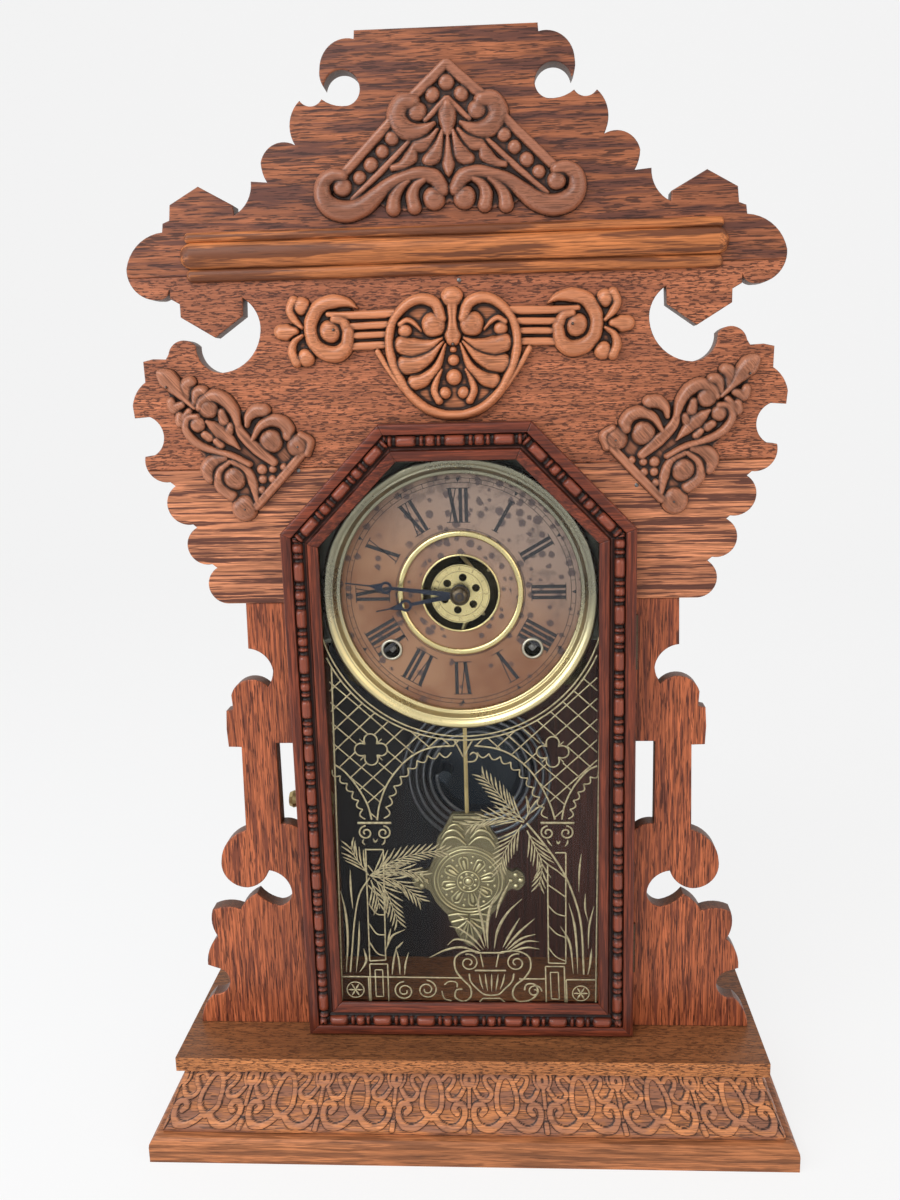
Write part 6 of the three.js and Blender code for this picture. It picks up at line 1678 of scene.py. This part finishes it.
class PressBob(bpy.types.Operator):
    """Presses the pendulum bob: a pearled rosette, ringed petals, leaves above and a palmette below"""

    bl_idname = "shelf_clock.press_bob"
    bl_label = "Press the pendulum bob"

    def execute(self, context):
        relief = Relief()
        half = np.array(BOB_HALF)
        flat_shape(relief, np.vstack([half, half[1:-1][::-1] * MIRRORED]), BOB_FRONT, BOB_BACK, wear=0.35)
        dome(relief, 0, BOB_Z, BOB_DISH, BOB_SWELL, around=60, rows=10, face=BOB_FRONT)
        relief.wear[-1] = np.full(len(relief.wear[-1]), 0.4)
        dome(relief, 0, BOB_Z, BOB_BRIM, -3.2, -4.6, around=60, rows=8, face=BOB_FRONT)
        for radius, width, high in BOB_RINGS:
            foot, reach = self.face(radius), width / 2
            ring = [(-reach, 0), (-reach / 2, -high), (reach / 2, -high), (reach, 0)]
            profile = [(radius + r, foot + y) for r, y in ring]
            turned(relief, profile, z=BOB_Z, around=72, wear=[0.3, 1, 1, 0.3])
        dome(relief, 0, BOB_Z, 2.0, 1.3, around=20, face=self.face(0))
        for k in range(8):
            self.petal(relief, k * np.pi / 4 + 0.2)
        for side in (1, -1):
            for x, z, radius in BOB_BERRIES:
                dome(relief, side * x, z, radius, 1.4, around=14, face=BOB_FRONT)
            for path, widths in BOB_LEAVES:
                stroke(relief, smooth_path(path, 5), widths, 1.2, -0.1, mirror=side < 0, face=BOB_FRONT)
        relief.build("bob_pressed", "pendulum", ["bob_brass"], ["pendulum_bob"])
        return {"FINISHED"}

    def face(self, radius):
        """The y of the swelling disc at a radius, 0.12 mm under its surface."""
        return BOB_FRONT - BOB_SWELL * math.sqrt(max(1 - (radius / BOB_DISH) ** 2, 0)) + 0.12

    def petal(self, relief, angle):
        """One of the eight petals between its two hooks, with a pearl at its foot and two past its side."""
        for radius, turn, size, high, around, foot in (
            (4.55, 0, 0.95, 0.9, 14, 4.5),
            (15.4, 0.39, 0.9, 0.95, 14, 15.4),
            (11.6, 0.39, 0.8, 0.8, 12, 11.6),
        ):
            place = polar((0, BOB_Z), radius, angle + turn)
            dome(relief, *place, size, high, around=around, face=self.face(foot))
        for line, widths, high, foot in (
            (((7.4, 0), (10.4, 0), (13.6, 0)), (0.5, 2.3, 1.6), 1.1, 10.5),
            (((7.6, 0.2), (11.0, 0.2), (14.2, 0.17), (15.6, 0.02)), (0.5, 1.0, 1.3, 0.8), 0.9, 12),
            (((7.6, -0.2), (11.0, -0.2), (14.2, -0.17), (15.6, -0.02)), (0.5, 1.0, 1.3, 0.8), 0.9, 12),
        ):
            path = [polar((0, BOB_Z), radius, angle + turn) for radius, turn in line]
            stroke(relief, smooth_path(path, 5), widths, high, face=self.face(foot))


# The gong's middle, its depth, the wire's radius, the coil's radii and turns, and where its lead starts.
GONG_X, GONG_Z, GONG_DEPTH, WIRE, WIRE_SIDES = 5.0, 188.0, 52.0, 1.08, 10
COIL_INNER, COIL_OUTER, COIL_TURNS, LEAD_X = 25, 46, 5, -15.0


class WindGong(bpy.types.Operator):
    """Winds the gong's wire: the radius grows evenly from 25 to 46 mm over five turns from the post"""

    bl_idname = "shelf_clock.wind_gong"
    bl_label = "Wind the gong"

    def execute(self, context):
        relief = Relief()
        path = spiral((GONG_X, GONG_Z), COIL_INNER, COIL_OUTER, 0.5, COIL_TURNS, 420)
        lead = np.column_stack([np.linspace(LEAD_X, path[0, 0], 6)[:-1], np.full(5, GONG_Z)])
        path = np.vstack([lead, path])
        angle = np.arange(WIRE_SIDES) * 2 * np.pi / WIRE_SIDES
        side = left_normals(path)
        px = path[:, :1] + WIRE * side[:, :1] * np.cos(angle)
        pz = path[:, 1:] + WIRE * side[:, 1:] * np.cos(angle)
        py = np.broadcast_to(GONG_DEPTH + WIRE * np.sin(angle), px.shape)
        relief.tube(np.stack([px, py, pz], -1), np.ones(px.size))
        relief.build("gong_wire", "case", ["steel"], ["gong_coil"])
        return {"FINISHED"}


class DriveNails(bpy.types.Operator):
    """Drives the small round nail heads seen on the boards"""

    bl_idname = "shelf_clock.drive_nails"
    bl_label = "Drive the nails"

    def execute(self, context):
        relief = Relief()
        for x, z in ((3.7, 472.6), (-83.0, 379.0), (93.0, 368.0)):
            dome(relief, x, z, 1.1, 0.4, around=14)
        relief.build("board_nails", "case", ["nail"])
        return {"FINISHED"}


# ------------------------------------------------------------------ settings and operators
class ClockFinishes(bpy.types.PropertyGroup):
    """The two colours of the plain front boards that a user would change"""

    oak_light: bpy.props.FloatVectorProperty(
        name="Light oak", description="Colour of the varnished boards between the grain", subtype="COLOR",
        default=(0.47, 0.16, 0.075))
    oak_dark: bpy.props.FloatVectorProperty(
        name="Dark oak", description="Colour of the late wood of the boards", subtype="COLOR",
        default=(0.15, 0.048, 0.03))


class FinishFrame(bpy.types.Operator):
    """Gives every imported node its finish"""

    bl_idname = "shelf_clock.finish_frame"
    bl_label = "Finish the frame"

    def execute(self, context):
        mix_finishes(context.scene.clock_finishes)
        for finish, nodes in NODE_FINISH.items():
            for node in nodes:
                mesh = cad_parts[node].data
                mesh.materials.clear()
                mesh.materials.append(material(finish))
        return {"FINISHED"}


# The floor in metres: how wide, where it starts, where it bends up, its bend, and the backdrop's height.
FLOOR_HALF, FLOOR_FRONT, FLOOR_BEND, BEND_RADIUS, BACKDROP_HIGH = 4.0, -2.2, 1.6, 1.2, 5.0
# Each lamp: name, place, size, power, what it is aimed at, colour.
LAMPS = (
    ("key lamp", (-0.75, -1.25, 1.45), 1.1, 16, (0, 0, 0.3), (1, 1, 1)),
    ("fill lamp", (1.3, -1.2, 0.8), 1.2, 6.5, (0, 0, 0.3), (1, 0.84, 0.66)),
    ("window lamp", (-0.75, -0.45, 0.55), 0.4, 2.2, (-0.05, 0, 0.35), (0.80, 0.90, 1)),
)
# The camera: its place in metres, the way it looks, its right hand, its lens in mm, its shift.
EYE_PLACE, EYE_AHEAD = (0.03167, -0.52352, 0.41884), (-0.0501, 0.9806, -0.1893)
EYE_RIGHT = (0.99865, 0.04649, -0.02329)
LENS, SENSOR, SHIFT_X, SHIFT_Y = 29.28, 36.0, -0.0168, -0.0191


class LightStage(bpy.types.Operator):
    """Lays the pale floor and backdrop, the soft lamps and the camera"""

    bl_idname = "shelf_clock.light_stage"
    bl_label = "Light the stage"

    def execute(self, context):
        scene = context.scene
        self.lay_floor(scene)
        self.world(scene)
        for row in LAMPS:
            self.lamp(*row)
        camera = bpy.data.cameras.new("camera")
        camera.lens, camera.sensor_width = LENS, SENSOR
        camera.shift_x, camera.shift_y = SHIFT_X, SHIFT_Y
        camera.dof.use_dof = False
        camera.clip_start, camera.clip_end = 0.01, 50.0
        eye = bpy.data.objects.new("camera", camera)
        forward = Vector(EYE_AHEAD).normalized()
        right = Vector(EYE_RIGHT)
        right = (right - forward * right.dot(forward)).normalized()
        turn = Matrix((right, right.cross(forward), -forward)).transposed()
        eye.matrix_world = Matrix.Translation(EYE_PLACE) @ turn.to_4x4()
        scene.collection.objects.link(eye)
        scene.camera = eye
        scene.view_settings.view_transform = "Standard"
        return {"FINISHED"}

    def lay_floor(self, scene):
        """A level floor that bends up behind the clock along a quarter circle into an upright backdrop."""
        bend = [[FLOOR_BEND + BEND_RADIUS * math.sin(a), BEND_RADIUS * (1 - math.cos(a))]
                for a in np.linspace(0.15, math.pi / 2, 12)]
        top = [FLOOR_BEND + BEND_RADIUS, BACKDROP_HIGH]
        profile = [[FLOOR_FRONT, 0.0], [FLOOR_BEND, 0.0], *bend, top]
        points = [(x, y, z) for y, z in profile for x in (-FLOOR_HALF, FLOOR_HALF)]
        mesh = bpy.data.meshes.new("floor")
        mesh.from_pydata(points, [], grid_faces(len(profile), 2)[:, ::-1].tolist())
        mesh.polygons.foreach_set("use_smooth", np.ones(len(profile) - 1, bool))
        floor = bpy.data.objects.new("floor", mesh)
        scene.collection.objects.link(floor)
        mesh.materials.append(self.pale_floor())

    def pale_floor(self):
        s = Shader("pale floor")
        lit = s.add("ShaderNodeBsdfDiffuse", {"Color": (0.86, 0.86, 0.86)})
        white = s.add("ShaderNodeEmission", {"Color": (1.0, 1.0, 1.0)})
        return s.surface(s.either(s.math("MULTIPLY", self.looked_at(s), 0.8), lit, white))

    def looked_at(self, s):
        """1 for the rays that show the background: seen straight, in a reflection or through glass."""
        ray = s.add("ShaderNodeLightPath").outputs
        mirrored = s.math("MAXIMUM", ray["Is Glossy Ray"], ray["Is Transmission Ray"])
        return s.math("MAXIMUM", ray["Is Camera Ray"], mirrored)

    def world(self, scene):
        scene.world = bpy.data.worlds.new("studio")
        s = Shader("studio", scene.world)
        strength = s.math("MULTIPLY_ADD", self.looked_at(s), 0.45, 0.48)
        sky = s.add("ShaderNodeBackground", {"Color": (0.97, 0.98, 1.0), "Strength": strength})
        s.surface(sky, "ShaderNodeOutputWorld")

    def lamp(self, name, place, size, power, aim, colour):
        light = bpy.data.lights.new(name, "AREA")
        light.color = colour
        light.shape, light.size, light.energy = "SQUARE", size, power
        lamp = bpy.data.objects.new(name, light)
        lamp.location = place
        lamp.rotation_mode = "QUATERNION"
        lamp.rotation_quaternion = (Vector(aim) - Vector(place)).to_track_quat("-Z", "Y")
        bpy.context.scene.collection.objects.link(lamp)


class ShelfClockPanel(bpy.types.Panel):
    """Lists the steps that finish the clock"""

    bl_idname = "VIEW3D_PT_shelf_clock"
    bl_label = "Shelf Clock"
    bl_space_type = "VIEW_3D"
    bl_region_type = "UI"
    bl_category = "Shelf Clock"

    def draw(self, context):
        for name in ("oak_light", "oak_dark"):
            self.layout.prop(context.scene.clock_finishes, name)
        for step in STEPS:
            self.layout.operator(step.bl_idname)


STEPS = (LightStage, FinishFrame, SawBoards, CarveCrest, CarveCentre, CarveCorners, LayReeds, MouldDoor,
         PressBase, PrintDial, FitDialBrass, EngraveAlarmDisc, GildGlass, PressBob, WindGong, DriveNails)


def register():
    bpy.utils.register_class(ClockFinishes)
    for step in (*STEPS, ShelfClockPanel):
        bpy.utils.register_class(step)
    bpy.types.Scene.clock_finishes = bpy.props.PointerProperty(type=ClockFinishes)


def unregister():
    del bpy.types.Scene.clock_finishes
    for step in (ShelfClockPanel, *reversed(STEPS), ClockFinishes):
        bpy.utils.unregister_class(step)


def main():
    register()
    for step in STEPS:
        group, name = step.bl_idname.split(".")
        getattr(getattr(bpy.ops, group), name)()


if __name__ == "__main__":
    main()
